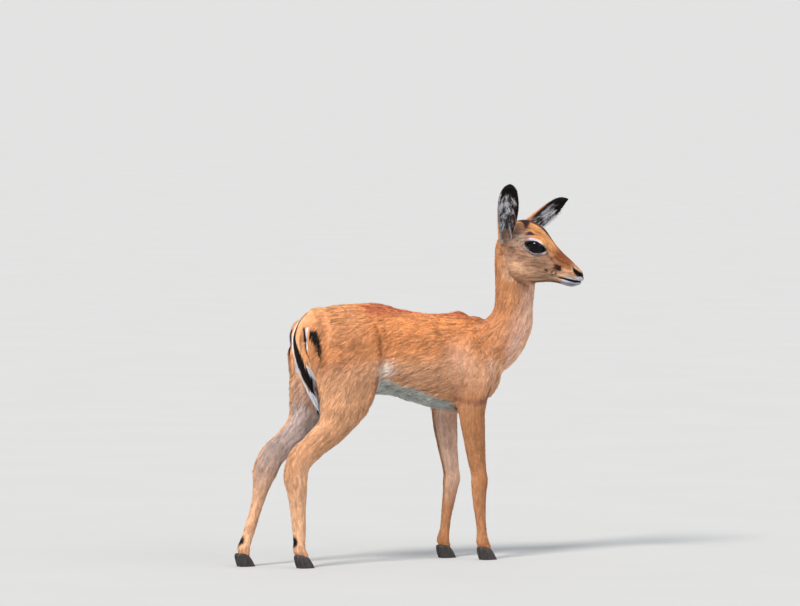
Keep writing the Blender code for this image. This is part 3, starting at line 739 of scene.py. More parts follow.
def one_surface(points, faces, voxel):
    """The outside of overlapping closed shells, as an even mesh of four-sided faces."""
    made = object_of("to_remesh", points, faces)
    remesh = made.modifiers.new("one_surface", "REMESH")
    remesh.mode = "VOXEL"
    remesh.voxel_size = voxel
    graph = bpy.context.evaluated_depsgraph_get()
    mesh = bpy.data.meshes.new_from_object(made.evaluated_get(graph))
    found = mesh_points(mesh), mesh_faces(mesh, 4)
    bpy.data.objects.remove(made)
    bpy.data.meshes.remove(mesh)
    return found


def normals_of(points, faces):
    """The outward direction at each point: the sum of its faces' areas, as a unit vector."""
    first = points[faces[:, 2]] - points[faces[:, 0]]
    second = points[faces[:, -1]] - points[faces[:, 1]]
    facing = np.cross(first, second)
    total = np.zeros_like(points)
    for corner in faces.T:
        for axis in range(3):
            total[:, axis] += np.bincount(corner, facing[:, axis], len(points))
    return unit(total)


def edges_of(faces):
    """Each edge once, as rows of two point numbers."""
    pairs = np.concatenate([faces[:, [i, (i + 1) % faces.shape[1]]] for i in range(faces.shape[1])])
    return np.unique(np.sort(pairs, 1), axis=0)


def neighbour_mean(points, edges):
    """The middle of each point's neighbours along its edges."""
    count = np.bincount(edges.ravel(), minlength=len(points))
    total = np.zeros_like(points)
    for near, far in (edges.T, edges.T[::-1]):
        for axis in range(points.shape[1]):
            total[:, axis] += np.bincount(near, points[far, axis], len(points))
    return total / np.maximum(count, 1)[:, None]


def fill_creases(points, faces, rounds=22, rate=0.5):
    """Rounds the hollows where two limbs meet, by letting points move outwards only. The rate may
    differ from point to point."""
    edges = edges_of(faces)
    for _ in range(rounds):
        normals = normals_of(points, faces)
        outward = np.maximum(dot(neighbour_mean(points, edges) - points, normals), 0)
        points = points + normals * outward * rate
    return points


def smoothed(points, faces, rounds, share=1.0):
    """Evens out a surface and keeps its bulk: each round pulls points in, then pushes them back."""
    edges = edges_of(faces)
    for _ in range(rounds):
        for rate in (0.5, -0.53):
            points = points + (neighbour_mean(points, edges) - points) * rate * share
    return points


def finer(points, faces, wanted):
    """Halves the edges of the faces whose middles are wanted, and makes all faces triangles."""
    mesh = bpy.data.meshes.new("to_divide")
    mesh.from_pydata(points.tolist(), [], faces.tolist())
    bm = bmesh.new()
    bm.from_mesh(mesh)
    bm.faces.ensure_lookup_table()
    middles = points[faces].mean(1)
    chosen = {edge for i in np.flatnonzero(wanted(middles)) for edge in bm.faces[i].edges}
    bmesh.ops.subdivide_edges(bm, edges=list(chosen), cuts=1, use_grid_fill=True)
    bmesh.ops.triangulate(bm, faces=bm.faces)
    bm.to_mesh(mesh)
    bm.free()
    found = mesh_points(mesh), mesh_faces(mesh, 3)
    bpy.data.meshes.remove(mesh)
    return found


LEGS = {
    "fore_right": (FORE_RIGHT, FORE_SIZES),
    "fore_left": (FORE_LEFT, FORE_SIZES),
    "hind_right": (HIND_RIGHT, HIND_SIZES),
    "hind_left": (HIND_LEFT, HIND_LEFT_SIZES),
}
LOFTS = {
    "trunk": limb(TRUNK, 70, 56),
    "neck": limb(NECK, 50, 48),
    "head": head_form(),
    **{name: leg(*tables) for name, tables in LEGS.items()},
    "tail": limb(TAIL, 40, 24),
}


def flesh():
    """The whole body as one closed surface, with the tail laid into the rump."""
    shells = [shell(grid) for name, (grid, _) in LOFTS.items() if name != "tail"]
    x, y, z, *radii = TAIL_HEAD
    shells.append(shell(egg((x, y, z), radii)))
    for side in (-1, 1):
        x, y, z, *radii = PIN_BONE
        shells.append(shell(egg((x, side * y, z), radii)))
        for along, out, rise, *radii in (ORBIT, EAR_ROOT, CHEEK):
            shells.append(shell(egg(from_head((along, side * out, rise)), radii, HEAD_AXES)))
    points, faces = one_surface(*joined(shells), FLESH_VOXEL)
    points = fill_creases(points, faces)
    points = smoothed(points, faces, 2)
    hip = ease(-0.120, -0.150, points[:, :1]) * ease(0.024, 0.036, np.abs(points[:, 1:2]))
    points = fill_creases(points, faces, 40, 0.5 * hip * ease(0.36, 0.40, points[:, 2:]))
    points = smoothed(points, faces, 14, ease(-0.140, -0.165, points[:, :1]))
    body = (points, faces.tolist())
    points, faces = one_surface(*joined([body, shell(LOFTS["tail"][0])]), SKIN_VOXEL)
    gap = np.linalg.norm(points - TAIL_SETTING, axis=1)[:, None]
    points = fill_creases(points, faces, 80, 0.5 * ease(0.050, 0.036, gap))
    return smoothed(points, faces, 3), faces


def nearness(points):
    """How much each loft has to say at each point, as the inverse fourth power of distance, and
    the way its hair lies there."""
    places, lies, owners = [], [], []
    for name, (grid, along) in LOFTS.items():
        part = PARTS.index(name.split("_")[0])
        rows = grid[1:-1:2, ::3]
        away = -1 if name in ("trunk", "neck", "head") else 1
        lie = np.broadcast_to(along[1:-1:2, None] * away, rows.shape)
        if name == "trunk":
            outward = unit(rows - rows.mean(1, keepdims=True))
            lie = lie + np.array((0, 0, -0.55)) * np.abs(outward[..., 1:2])
            lie = lie + np.array((0, 0, -2.0)) * ease(-0.160, -0.190, rows[..., :1])
        if name == "head":
            lie = lie + HEAD_AXES[2] * -0.30
        if name.startswith("hind"):
            lie = lie - np.array((0.6, 0, 0)) * ease(0.30, 0.38, rows[..., 2:])
        places.append(rows.reshape(-1, 3))
        lies.append(unit(lie).reshape(-1, 3))
        owners.append(np.full(rows.shape[0] * rows.shape[1], part))
    places = np.concatenate(places)
    lies = np.concatenate(lies)
    owned = np.eye(len(PARTS))[np.concatenate(owners)]
    shares, lie = [], []
    for some in np.array_split(points, len(points) // 3000 + 1):
        square = ((some**2).sum(1)[:, None] + (places**2).sum(1)) - 2 * some @ places.T
        weight = 1 / (np.maximum(square, 0) + 0.004**2) ** 3
        weight /= weight.sum(1, keepdims=True)
        shares.append(weight @ owned)
        lie.append(weight @ lies)
    return np.concatenate(shares), unit(np.concatenate(lie))


def lid_measure(h):
    """How far each point of the head is from the eye's opening, sideways ignored: 1 on its rim.
    The opening is an ellipse, pinched to points at its two corners."""
    c, s = math.cos(LID_TILT), math.sin(LID_TILT)
    x = (h[:, 0] - LID_MIDDLE[0]) * c + (h[:, 2] - LID_MIDDLE[1]) * s
    y = (h[:, 2] - LID_MIDDLE[1]) * c - (h[:, 0] - LID_MIDDLE[0]) * s
    x, y = x / LID_HALF[0], y / LID_HALF[1]
    return np.sqrt(x**2 + y**2 * (1 + LID_PINCH * x**2)), x, y


def facing_head(points):
    """Places in the head's frame with both sides laid on its left one."""
    return both_sides(in_head(points))


def bump(h, middle, radii, height):
    """A rounded swelling, or with a height below zero a hollow."""
    return height * np.exp(-(((h - middle) / radii) ** 2).sum(1))


def swollen(h, table):
    """The sum of a table's swellings and hollows."""
    return sum(bump(h, *row) for row in table)


def mouth_rise(h):
    """How far above the line of the mouth each point is, and below zero how far under it."""
    return h[:, 2] - np.interp(h[:, 0], [p[0] for p in MOUTH], [p[2] for p in MOUTH])


def head_relief(h):
    """How far the skin of the head stands out: brow, cheekbone, jaw muscle, lips and nose."""
    relief = swollen(h, HEAD_SWELLINGS)
    gap, _ = to_line(h, CHEEKBONE)
    relief += 0.0012 * np.exp(-((gap / 0.006) ** 2))
    gap, _ = to_line(h, JAW_EDGE)
    relief -= 0.0030 * np.exp(-((gap / 0.0045) ** 2))
    gap, place = to_line(h, MOUTH)
    lips = mouth_rise(h)
    relief += 0.0009 * hump(0.0045, 0.0026, lips) * ease(0.014, 0.006, gap)
    relief += 0.0012 * hump(-0.0048, 0.0030, lips) * ease(0.014, 0.006, gap)
    relief -= 0.0024 * np.exp(-((gap / 0.0012) ** 2)) * (0.5 + 0.5 * ease(0, 0.12, place))
    gap, place = to_line(h, NOSTRIL)
    relief += 0.0012 * hump(0.0056, 0.0018, gap)
    opening = np.interp(place, np.linspace(0, 1, len(NOSTRIL)), NOSTRIL_HALF) * 0.72
    relief -= 0.0052 * (1 - ease(0.5, 1.4, gap / opening))
    lid, _, y = lid_measure(h)
    near_eye = ease(*EYE_SHAPED, h[:, 1])
    relief -= 0.0009 * hump(1.75, 0.13, lid) * (y > 0) * near_eye
    relief -= 0.0008 * hump(1.85, 0.14, lid) * (y < 0) * near_eye
    relief += 0.0006 * hump(1.34, 0.14, lid) * near_eye
    return relief


def body_relief(points):
    """How far the skin stands out elsewhere: shoulder, thigh, flank fold, hocks and knees."""
    x, _, z = points.T
    p = both_sides(points)
    relief = swollen(p, BODY_SWELLINGS)
    gap, _ = to_line(p, HAUNCH_EDGE)
    ahead = x - np.interp(z, [q[2] for q in HAUNCH_EDGE[::-1]], [q[0] for q in HAUNCH_EDGE[::-1]])
    low = ease(0.51, 0.47, z)
    relief += 0.0032 * np.exp(-((gap / 0.014) ** 2)) * ease(0.003, -0.003, ahead) * low
    relief -= 0.0028 * hump(0.009, 0.008, ahead) * ease(0.030, 0.012, gap) * low
    for path in (HIND_RIGHT, HIND_LEFT):
        hock = (np.array(path[5]) + np.array(path[6])) / 2
        for side in (-1, 1):
            hollow = hock + np.array((0.004, side * 0.012, 0.012))
            relief += bump(points, hollow, (0.007, 0.008, 0.018), -0.0020)
    for path in (FORE_RIGHT, FORE_LEFT):
        knee = np.array(path[7])
        relief += bump(points, knee + (0.014, 0, 0), (0.010, 0.012, 0.012), 0.0012)
        relief += bump(points, knee + (-0.014, 0, 0.008), (0.008, 0.012, 0.010), -0.0012)
    wrinkle = drift(points * (1, 1, 0.5), 0.016, 3) * ease(-0.02, 0.02, x) * ease(0.50, 0.45, z)
    return relief + 0.0006 * wrinkle + 0.0005 * drift(points, 0.030, 4)


def drape_lids(points):
    """Lays the skin round each eye over the eyeball as lids, and sinks it behind the opening."""
    h = in_head(points)
    side = np.where(h[:, 1:2] < 0, -1.0, 1.0)
    h[:, 1:2] *= side
    lid, x, _ = lid_measure(h)
    middle = np.array((0, BALL_SIDE, EYE_RISE))
    out = h - middle
    reach = np.linalg.norm(out, axis=1)
    lateral = ease(*EYE_SHAPED, h[:, 1])
    lift = np.maximum(BALL_RADIUS + LID_THICK - reach, 0) * (1 - ease(1.05, 1.95, lid)) * lateral
    h += out / reach[:, None] * lift[:, None]
    inside = (1 - ease(0.86, 1.0, lid)) * lateral
    out = h - middle
    reach = np.linalg.norm(out, axis=1)
    sink = np.maximum(reach - BALL_RADIUS + 0.0030, 0) * inside
    h -= out / reach[:, None] * sink[:, None]
    h[:, 1] -= 0.0030 * inside * ease(0.7, 0.95, np.abs(x))
    h[:, 1:2] *= side
    return from_head(h)


def lamb_skin():
    """Points, triangles, outward directions, the parts' shares and the lie of the hair."""
    points, faces = flesh()
    shares, _ = nearness(points)
    points = points - normals_of(points, faces) * (shares @ COAT_DEPTH)[:, None]

    def head_or_rump(middles):
        h = in_head(middles)
        rump = (middles[:, 0] < -0.165) & (middles[:, 2] > 0.33)
        return (h[:, 0] > -0.072) & (np.linalg.norm(h, axis=1) < HEAD_REACH) | rump

    def eyes_or_muzzle(middles):
        h = facing_head(middles)
        eye = np.linalg.norm(h - (-0.002, 0.040, 0.001), axis=1) < 0.034
        return eye | ((h[:, 0] > 0.064) & (np.linalg.norm(h, axis=1) < HEAD_REACH))

    points, faces = finer(points, faces, head_or_rump)
    points = smoothed(points, faces, 3)
    points, faces = finer(points, faces, eyes_or_muzzle)
    points = smoothed(points, faces, 3)
    h = facing_head(points)
    headed = ease(-0.085, -0.065, h[:, 0]) * ease(0.150, 0.130, np.linalg.norm(h, axis=1))
    relief = head_relief(h) * headed + body_relief(points) * (1 - headed)
    points = points + normals_of(points, faces) * relief[:, None]
    points = drape_lids(points)
    shares, lie = nearness(points)
    normals = normals_of(points, faces)
    lie = square_to(lie, normals)
    return points, faces, normals, shares, lie


# ---- markings -----------------------------------------------------------------------------------


def grain(points, lie, cell, seed):
    """Smooth random values drawn out along the lie of the hair: drift's sum over five places."""
    steps = np.linspace(-2.4, 2.4, 5) * cell
    return sum(drift(points + lie * step, cell, seed) for step in steps) / 3


def on_head(h):
    """1 on the head and 0 on the neck, from one side of the jaw's edge to the other."""
    c, s = math.cos(JAW_SLOPE), math.sin(JAW_SLOPE)
    along = h[:, 0] - JAW_CORNER[0]
    rise = h[:, 2] - JAW_CORNER[2]
    above = rise * c - along * s + 0.020 * ease(0.020, 0.050, h[:, 0])
    return ease(-0.010, 0.008, along * c + rise * s) * ease(-0.004, 0.010, above)


def eye_colours(h, colours):
    """The pale ring round the eye, white before and above it and duller below, inside it the
    black rim, and the dark marks over and behind it."""
    a, s, r = h.T
    lid, _, _ = lid_measure(h)
    near_eye = ease(*EYE_BARE, s)
    along, rise, half_along, half_rise = EYE_RING
    ring = np.sqrt(((a - along) / half_along) ** 2 + ((r - rise) / half_rise) ** 2)
    ring = ease(1.04, 0.92, ring) * near_eye
    colours = dyed(colours, "eye_pale", ring)
    colours = dyed(colours, "eye_white", ring * ease(-0.002, 0.006, r + 0.30 * a))
    colours = dyed(colours, "eye_bright", ring * ease(0.004, 0.014, a) * ease(-0.002, 0.004, r))
    colours = dyed(colours, "brow_mark_and_fold_shade", stripe(h, BROW_SPOT, BROW_SPOT_HALF, 0.0010))
    colours = dyed(colours, "brow_mark_and_fold_shade", stripe(h, REAR_TICK, 0.0011, 0.0008))
    return dyed(colours, "black", ease(1.26, 1.12, lid) * near_eye)


def nose_pad(h):
    """1 on the bare skin between the nostrils and down to the lip."""
    a, s, r = h.T
    return ease(0.0065, 0.0045, s) * ease(0.1085, 0.1110, a) * ease(-0.0190, -0.0150, r)


def muzzle_colours(h, colours, wander):
    """The muzzle's brown bridge, spots, pale lips and chin, and its black nostrils and mouth."""
    a, _, r = h.T
    colours = dyed(colours, "muzzle_side", ease(0.010, 0.055, a) * ease(-0.012, -0.024, r))
    bridge = ease(0.026, 0.050, a) * ease(-0.012, 0.000, r + 0.12 * (a - 0.05) + 0.004 * wander)
    colours = dyed(colours, "muzzle_top", bridge * 0.9)
    colours = dyed(colours, "nose_top", ease(0.076, 0.090, a) * ease(-0.020, -0.008, r) * 0.9)
    colours = dyed(colours, "tear_brown", 0.7 * stripe(h, TEAR_LINE, TEAR_LINE_HALF, 0.0024))
    ragged = drift(h, 0.0030, 7) + 0.7 * drift(h, 0.0014, 12)
    for middle, radius, dye in FACE_SPOTS:
        gap = np.linalg.norm(h - middle, axis=1) + 0.0012 * ragged
        colours = dyed(colours, "spot_brown", 0.6 * ease(2.2 * radius, radius, gap))
        colours = dyed(colours, dye, ease(1.3 * radius, 0.8 * radius, gap))
    middle, radius, half = MOUTH_RING
    gap = np.abs(np.linalg.norm(h - middle, axis=1) - radius)
    broken = ease(-0.3, 0.3, ragged)
    colours = dyed(colours, "spot_black", ease(1.5 * half, 0.6 * half, gap) * broken)
    mouth = mouth_rise(h)
    under = r - np.interp(a, [ring.along for ring in HEAD], [ring.chin for ring in HEAD])
    pale = hump(0.015, 0.006, under) * ease(0.012, 0.030, a) * ease(0.078, 0.070, a)
    colours = dyed(colours, "jaw", 0.7 * pale)
    # Darker under the jaw: dark hair, and painted shade.
    dark = ease(0.009, 0.003, under) * ease(-0.01, 0.03, a) * ease(0.082, 0.076, a)
    colours = dyed(colours, "jaw_dark_and_shade", dark * (0.70 + 0.25 * ease(0.055, 0.068, a)))
    chin = ease(0.076, 0.082, a + 0.002 * wander)
    colours = dyed(colours, "chin", chin * ease(0.002, -0.002, mouth))
    colours = dyed(colours, "lip", ease(0.076, 0.090, a) * hump(0.0038, 0.0032, mouth))
    colours = dyed(colours, "lip", ease(0.098, 0.103, a) * ease(0.012, 0.008, mouth) * (mouth > 0))
    colours = dyed(colours, "black", side_stripe(h, NOSTRIL, NOSTRIL_HALF, 0.0008))
    colours = dyed(colours, "black", side_stripe(h, MOUTH, MOUTH_HALF, 0.0006))
    return dyed(colours, "black", nose_pad(h) * ease(-0.0040, -0.0065, r))


def head_colours(h, wander):
    """The head's markings, from places in its frame laid on its left side."""
    a, _, r = h.T
    colours = np.tile(DYES["cheek"], (len(h), 1))
    colours = dyed(colours, "cheek_low", ease(-0.034, -0.052, r + 0.002 * wander))
    colours = dyed(colours, "forehead", ease(0.004, 0.022, r + 0.30 * a + 0.003 * wander))
    # Grey below the ear's root: grey hair, and painted shade under the ear.
    shaded = np.linalg.norm((h - (-0.062, 0.043, -0.016)) / (0.014, 0.020, 0.013), axis=1)
    colours = dyed(colours, "ear_base_and_shade", 0.9 * ease(1.2, 0.5, shaded + 0.15 * wander))
    behind_eye = bump(h, (-0.038, 0.043, 0.000), (0.012, 0.014, 0.012), 1)
    colours = dyed(colours, "temple", 0.8 * behind_eye)
    colours = dyed(colours, "spot_black", 0.8 * bump(h, (-0.0522, 0.0431, 0.0053), 0.0036, 1))
    colours = muzzle_colours(h, colours, wander)
    line = stripe(h, CROWN_LINE, CROWN_LINE_HALF, 0.0016)
    colours = dyed(colours, "crown", line * (0.95 - 0.5 * ease(0.0, 0.03, a)))
    colours = dyed(colours, "crown", stripe(h, CROWN_WEDGE, CROWN_WEDGE_HALF, 0.0020))
    return eye_colours(h, colours)


def leg_colours(colours, points, normals, shares):
    """Outside of the legs by pair, paler inside with the hind legs' inner faces greyed as painted
    shade, and the dark tufts behind the hind fetlocks.
    """
    _, y, z = points.T
    inward = -normals[:, 1] * np.sign(y)
    fore, hind = shares[:, 3], shares[:, 4]
    colours = dyed(colours, "fore_leg", fore * ease(0.37, 0.29, z))
    colours = dyed(colours, "knee", 0.7 * fore * hump(0.165, 0.03, z) * ease(0, 0.6, normals[:, 0]))
    colours = dyed(colours, "thigh", hind * ease(0.45, 0.38, z))
    colours = dyed(colours, "hind_leg", hind * ease(0.25, 0.20, z))
    hock = hump(0.205, 0.035, z) * ease(0.3, -0.5, normals[:, 0])
    colours = dyed(colours, "knee", 0.40 * hind * hock)
    inner = ease(0.12, 0.60, inward)
    colours = dyed(colours, "inner_fore", 0.85 * fore * inner * ease(0.08, 0.20, z))
    colours = dyed(colours, "inner_leg_and_shade", hind * inner * ease(0.10, 0.26, z) * ease(0.355, 0.325, z))
    deep = ease(0.45, 0.90, inward) * ease(0.320, 0.345, z)
    colours = dyed(colours, "inner_thigh", 0.9 * hind * deep)
    for path in (HIND_RIGHT, HIND_LEFT):
        middle = np.array(path[11]) + np.array((-0.013, 0, 0.002))
        patch = bump(points, middle, (0.008, 0.011, 0.014), 1)
        colours = dyed(colours, "black", ease(0.35, 0.6, patch))
    return dyed(colours, "knee", 0.5 * ease(0.045, 0.025, z))


def on_tail(points):
    """1 on the tail and 0 off it, by how many of its own half-sizes a point is from its middle."""
    flat = np.array((1, 0, 1))
    rings = np.array(TAIL)
    gap, place = to_line(points * flat, rings[:, :3] * flat)
    at = np.linspace(0, 1, len(rings))
    wide = np.interp(place, at, rings[:, 3])
    deep = np.interp(place, at, rings[:, 4:6].mean(1))
    return ease(1.20, 1.05, np.hypot(points[:, 1] / wide, gap / deep))


def tail_colours(colours, points, share):
    """The tail: tan, with a black line down it, white beyond the line and at its tip."""
    _, y, z = points.T
    heights = [spot[2] for spot in TAIL_LINE[::-1]]
    beyond = y - np.interp(z, heights, [spot[1] for spot in TAIL_LINE[::-1]])
    half = np.interp(z, heights, TAIL_LINE_HALF[::-1])
    colours = dyed(colours, "tail_tan", share)
    fringe = ease(0.0005, 0.0025, beyond - half) * ease(0.510, 0.490, z)
    near = ease(-0.0005, -0.0030, beyond + half) * ease(0.425, 0.405, z) * 0.8
    tip = ease(0.372, 0.356, z)
    colours = dyed(colours, "tail_white", share * np.clip(fringe + near + tip, 0, 1))
    line = stripe(points, TAIL_LINE, TAIL_LINE_HALF, 0.0008) * ease(0.346, 0.356, z)
    return dyed(colours, "black", line * ease(-0.160, -0.168, points[:, 0]))


def rump_colours(colours, points, wander):
    """The white beside the tail, the black stripe down each buttock, and a thin black line of painted
    shadow between tail and buttock.
    """
    x, y, z = points.T
    both = both_sides(points)
    tail = on_tail(points)
    behind = ease(-0.150, -0.172, x) * ease(0.490, 0.480, z) * ease(0.290, 0.320, z)
    reach = np.interp(z, PERINEUM_RISE, PERINEUM_REACH) + 0.0008 * wander
    reach *= 1 - 0.35 * (y > 0) * ease(0.396, 0.380, z)
    white = behind * ease(0.0015, -0.0015, both[:, 1] - reach)
    colours = dyed(colours, "perineum", white * (1 - tail))
    ragged = points + np.stack((0 * x, 0.0006 * wander, 0 * x), 1)
    black = stripe(ragged * (1, -1, 1), RUMP_STRIPE, RUMP_STRIPE_HALF, 0.0014)
    black += stripe(ragged, FAR_STRIPE, FAR_STRIPE_HALF, 0.0014)
    colours = dyed(colours, "stripe", black)
    colours = tail_colours(colours, points, tail)
    colours = dyed(colours, "perineum", stripe(both, WEDGE, WEDGE_HALF, 0.0008))
    # The thin black line beside the tail is painted shadow in the gap between tail and buttock.
    return dyed(colours, "stripe", stripe(both, TAIL_CREASE, TAIL_CREASE_HALF, 0.0006))


def trunk_colours(points, wander):
    """The saddle down the back, the paler flank under it, and the rump."""
    x, _, z = points.T
    colours = np.tile(DYES["low_flank"], (len(points), 1))
    colours = dyed(colours, "flank", ease(0.395, 0.440, z + 0.004 * wander))
    colours = dyed(colours, "back", ease(0.440, 0.490, z + 0.006 * wander))
    spine = 0.505 - 0.012 * ease(0.05, 0.20, x)
    front = ease(-0.090, -0.050, x)
    colours = dyed(colours, "saddle", front * ease(-0.006, 0.010, z - spine + 0.003 * wander))
    return dyed(colours, "rump", ease(-0.045, -0.110, x) * ease(0.40, 0.46, z))


def side_shades(colours, points, wander):
    """The sides' darker and paler parts, partly the coat's own tones and partly painted shade and a
    painted highlight, each dyed on by a bell about its middle.
    """
    x, _, z = points.T
    for ahead, high, half_x, half_z, share, dye in SHADES:
        gap = ((x - ahead) / half_x) ** 2 + ((z - high) / half_z) ** 2
        colours = dyed(colours, dye, share * np.exp(-gap) * (1 + 0.35 * wander))
    return colours


def neck_colours(colours, points, normals, neck):
    """The neck with its browner nape, its throat, and the chest under it."""
    x, _, z = points.T
    base = ease(0.54, 0.47, z) * ease(0.275, 0.245, x)
    colours = dyed(colours, "neck", ease(0.25, 0.6, neck) * (1 - 0.8 * base))
    nape = neck * ease(0.1, -0.7, normals[:, 0] * 0.9 + 0.3 * normals[:, 1])
    colours = dyed(colours, "nape", nape)
    throat = ease(0.2, 0.8, normals[:, 0]) * ease(0.46, 0.54, z)
    colours = dyed(colours, "throat", 0.7 * neck * throat)
    # The chest's front: paler hair, and painted light where it faces forwards.
    chest = ease(0.205, 0.235, x) * ease(0.36, 0.40, z) * ease(0.52, 0.47, z)
    return dyed(colours, "chest", 0.8 * chest * ease(0.1, 0.7, normals[:, 0]))


def edge_shades(colours, points, normals, wander):
    """Painted shade: a dark line in the fold under the shoulder, and the shade down the haunch's front
    edge.
    """
    x, y, z = points.T
    side_on = np.stack((x, 0 * y, z - 0.0010 * wander), 1)
    fold = stripe(side_on, SHOULDER_FOLD, SHOULDER_FOLD_HALF, 0.0040)
    colours = dyed(colours, "brow_mark_and_fold_shade", 0.62 * fold * ease(0.3, 0.6, np.abs(normals[:, 1])))
    # The dark line down the haunch's front edge is painted shade.
    edge = stripe(both_sides(points), HAUNCH_EDGE, 0.0035, 0.0045)
    return dyed(colours, "deep", 0.50 * edge * ease(0.50, 0.46, z))


def belly_colours(colours, points, normals, shares, wander):
    """The white of the belly, greyed and tinted green as painted shade and painted reflected light,
    from the flank to the chest and not on the legs or the neck, and the pale fold where the flank meets
    the thigh."""
    x, y, z = points.T
    under = np.interp(x, BELLY_AT, BELLY_RISE) - z + 0.0025 * wander
    ahead = np.where(normals[:, 1] * np.sign(y) > -0.2, x + 0.052, x + 0.140)
    behind = ease(-0.006, 0.006, ahead + 0.003 * wander)
    fore = np.clip(shares[:, 3] * ease(0.36, 0.33, z), 0, 1)
    belly = ease(-0.0025, 0.0025, under) * behind * (1 - ease(0.45, 0.75, fore)) * ease(0.24, 0.20, x)
    colours = dyed(colours, "belly", belly * (1 - shares[:, 1] - shares[:, 2]))
    fold = bump(both_sides(points), (-0.034, 0.058, 0.401), (0.018, 0.02, 0.015), 1)
    return dyed(colours, "fold", 0.9 * fold)


def coat_colours(points, normals, shares):
    """The colour of skin and coat at any point of the body, as linear light."""
    wander = 0.6 * drift(points, 0.011, 5) + 0.4 * drift(points, 0.0045, 6)
    neck = shares[:, 1] + shares[:, 2]
    colours = trunk_colours(points, wander)
    colours = neck_colours(colours, points, normals, neck)
    colours = leg_colours(colours, points, normals, shares)
    colours = side_shades(colours, points, wander)
    colours = edge_shades(colours, points, normals, wander)
    colours = belly_colours(colours, points, normals, shares, wander)
    colours = rump_colours(colours, points, wander)
    h = facing_head(points)
    headed = (on_head(h) * ease(0.10, 0.30, neck))[:, None]
    colours = colours * (1 - headed) + head_colours(h, wander) * headed
    # A dark line of painted shade in the crease along the jaw's edge.
    return dyed(colours, "jaw_dark_and_shade", 0.55 * stripe(h, JAW_EDGE, JAW_EDGE_HALF, 0.0026))


def toned(colours, points, lie, shares):
    """The colours lightened and darkened in streaks along the hair and in broader patches: the hair's
    own uneven tone, with painted light and shade of its clumps.
    """
    tone = 0.17 * grain(points, lie, 0.0065, 8) + 0.46 * grain(points, lie, 0.0028, 9)
    tone += 0.36 * grain(points, lie, 0.0017, 13) + 0.07 * drift(points, 0.020, 10)
    return colours * np.maximum(1 + (shares @ COAT_STREAKS) * tone, 0.2)[:, None]


# ---- hair ---------------------------------------------------------------------------------------


def lock_faces(stations):
    """Triangles of one closed lock: a root point, three-cornered stations and a tip point."""
    rings = [(1 + 3 * i, 2 + 3 * i, 3 + 3 * i) for i in range(stations)]
    tip = 3 * stations + 1
    faces = []
    for i, j in ((0, 1), (1, 2), (2, 0)):
        faces.append((0, rings[0][j], rings[0][i]))
        for low, high in zip(rings, rings[1:]):
            faces += [(low[i], low[j], high[j]), (low[i], high[j], high[i])]
        faces.append((rings[-1][i], rings[-1][j], tip))
    return np.array(faces)


def locks(roots, normals, lie, length, width, lift, bend, stations=1):
    """Points of many locks and their shading directions. Each lock follows root + length * t *
    direction, raised from the skin by its lift and bent back by bend * t^2, and is widest near its
    middle, with a ridge on its back. It is shaded mostly as the skin under it."""
    length, width, lift = length[:, None], width[:, None], lift[:, None]
    bend = np.broadcast_to(bend, (len(roots),))[:, None]
    direction = unit(lie * np.cos(lift) + normals * np.sin(lift))
    up = square_to(normals, direction)
    across = np.cross(direction, up)
    sink = 0.0005
    points = [roots - normals * sink]
    facing = [normals]
    flare = 0.9
    places = {1: (0.42,), 2: (0.28, 0.64), 3: (0.2, 0.48, 0.76)}[stations]
    for t in places:
        centre = roots + direction * (length * t) - normals * (length * bend * t * t)
        girth = width * (1 - max(t - 0.4, 0) * 0.9)
        points += [
            centre + across * girth / 2,
            centre - across * girth / 2,
            centre + up * girth * 0.42,
        ]
        facing += [normals + across * flare, normals - across * flare, normals]
    points.append(roots + direction * length - normals * (length * bend))
    facing.append(normals)
    return np.stack(points, 1), unit(np.stack(facing, 1))


def coat_object(name, locks_at, facing, colours, root_uv, paint):
    """One mesh of many locks. Colour runs from a darker root to a lighter tip, as painted shade among
    the locks and painted light on their tips, and each lock has a patch of its own on the bake's map,
    at its root's place."""
    number, corners = locks_at.shape[:2]
    stations = (corners - 2) // 3
    faces = (lock_faces(stations)[None] + (np.arange(number) * corners)[:, None, None]).reshape(-1, 3)
    mesh = bpy.data.meshes.new(name)
    mesh.vertices.add(number * corners)
    mesh.loops.add(faces.size)
    mesh.polygons.add(len(faces))
    mesh.vertices.foreach_set("co", place(locks_at).astype(np.float32).ravel())
    mesh.loops.foreach_set("vertex_index", faces.ravel().astype(np.int32))
    mesh.polygons.foreach_set("loop_start", np.arange(0, faces.size, 3, dtype=np.int32))
    mesh.polygons.foreach_set("use_smooth", np.ones(len(faces), bool))
    mesh.update(calc_edges=True)
    mesh.normals_split_custom_set_from_vertices(facing.reshape(-1, 3).tolist())
    along = np.concatenate(([0], np.repeat(np.arange(1, stations + 1), 3) / (stations + 1), [1]))
    depth = ROOT_SHADE + (TIP_SHADE - ROOT_SHADE) * along
    shaded = np.clip(colours[:, None] * depth[None, :, None], 0, 1)
    set_colours(mesh, shaded.reshape(-1, 3))
    sway = np.concatenate(([0], np.tile((-0.5, 0.5, 0.0), stations), [0]))
    patch = np.stack((sway, along - 0.5), 1) * PATCH
    set_uv(mesh, (root_uv[:, None] + patch[None]).reshape(-1, 2)[faces.ravel()])
    mesh.materials.append(paint)
    return in_scene(name, mesh)


def set_colours(mesh, colours):
    """Writes a colour for each point as the attribute that the coat's materials read."""
    layer = mesh.color_attributes.new("coat_colour", "FLOAT_COLOR", "POINT")
    rows = np.concatenate((colours, np.ones((len(colours), 1))), 1)
    layer.data.foreach_set("color", rows.astype(np.float32).ravel())


def set_uv(mesh, uv):
    """Writes the unwrap of each face corner as the map that the looks are baked to."""
    mesh.uv_layers.new(name="OFBake").data.foreach_set("uv", uv.astype(np.float32).ravel())


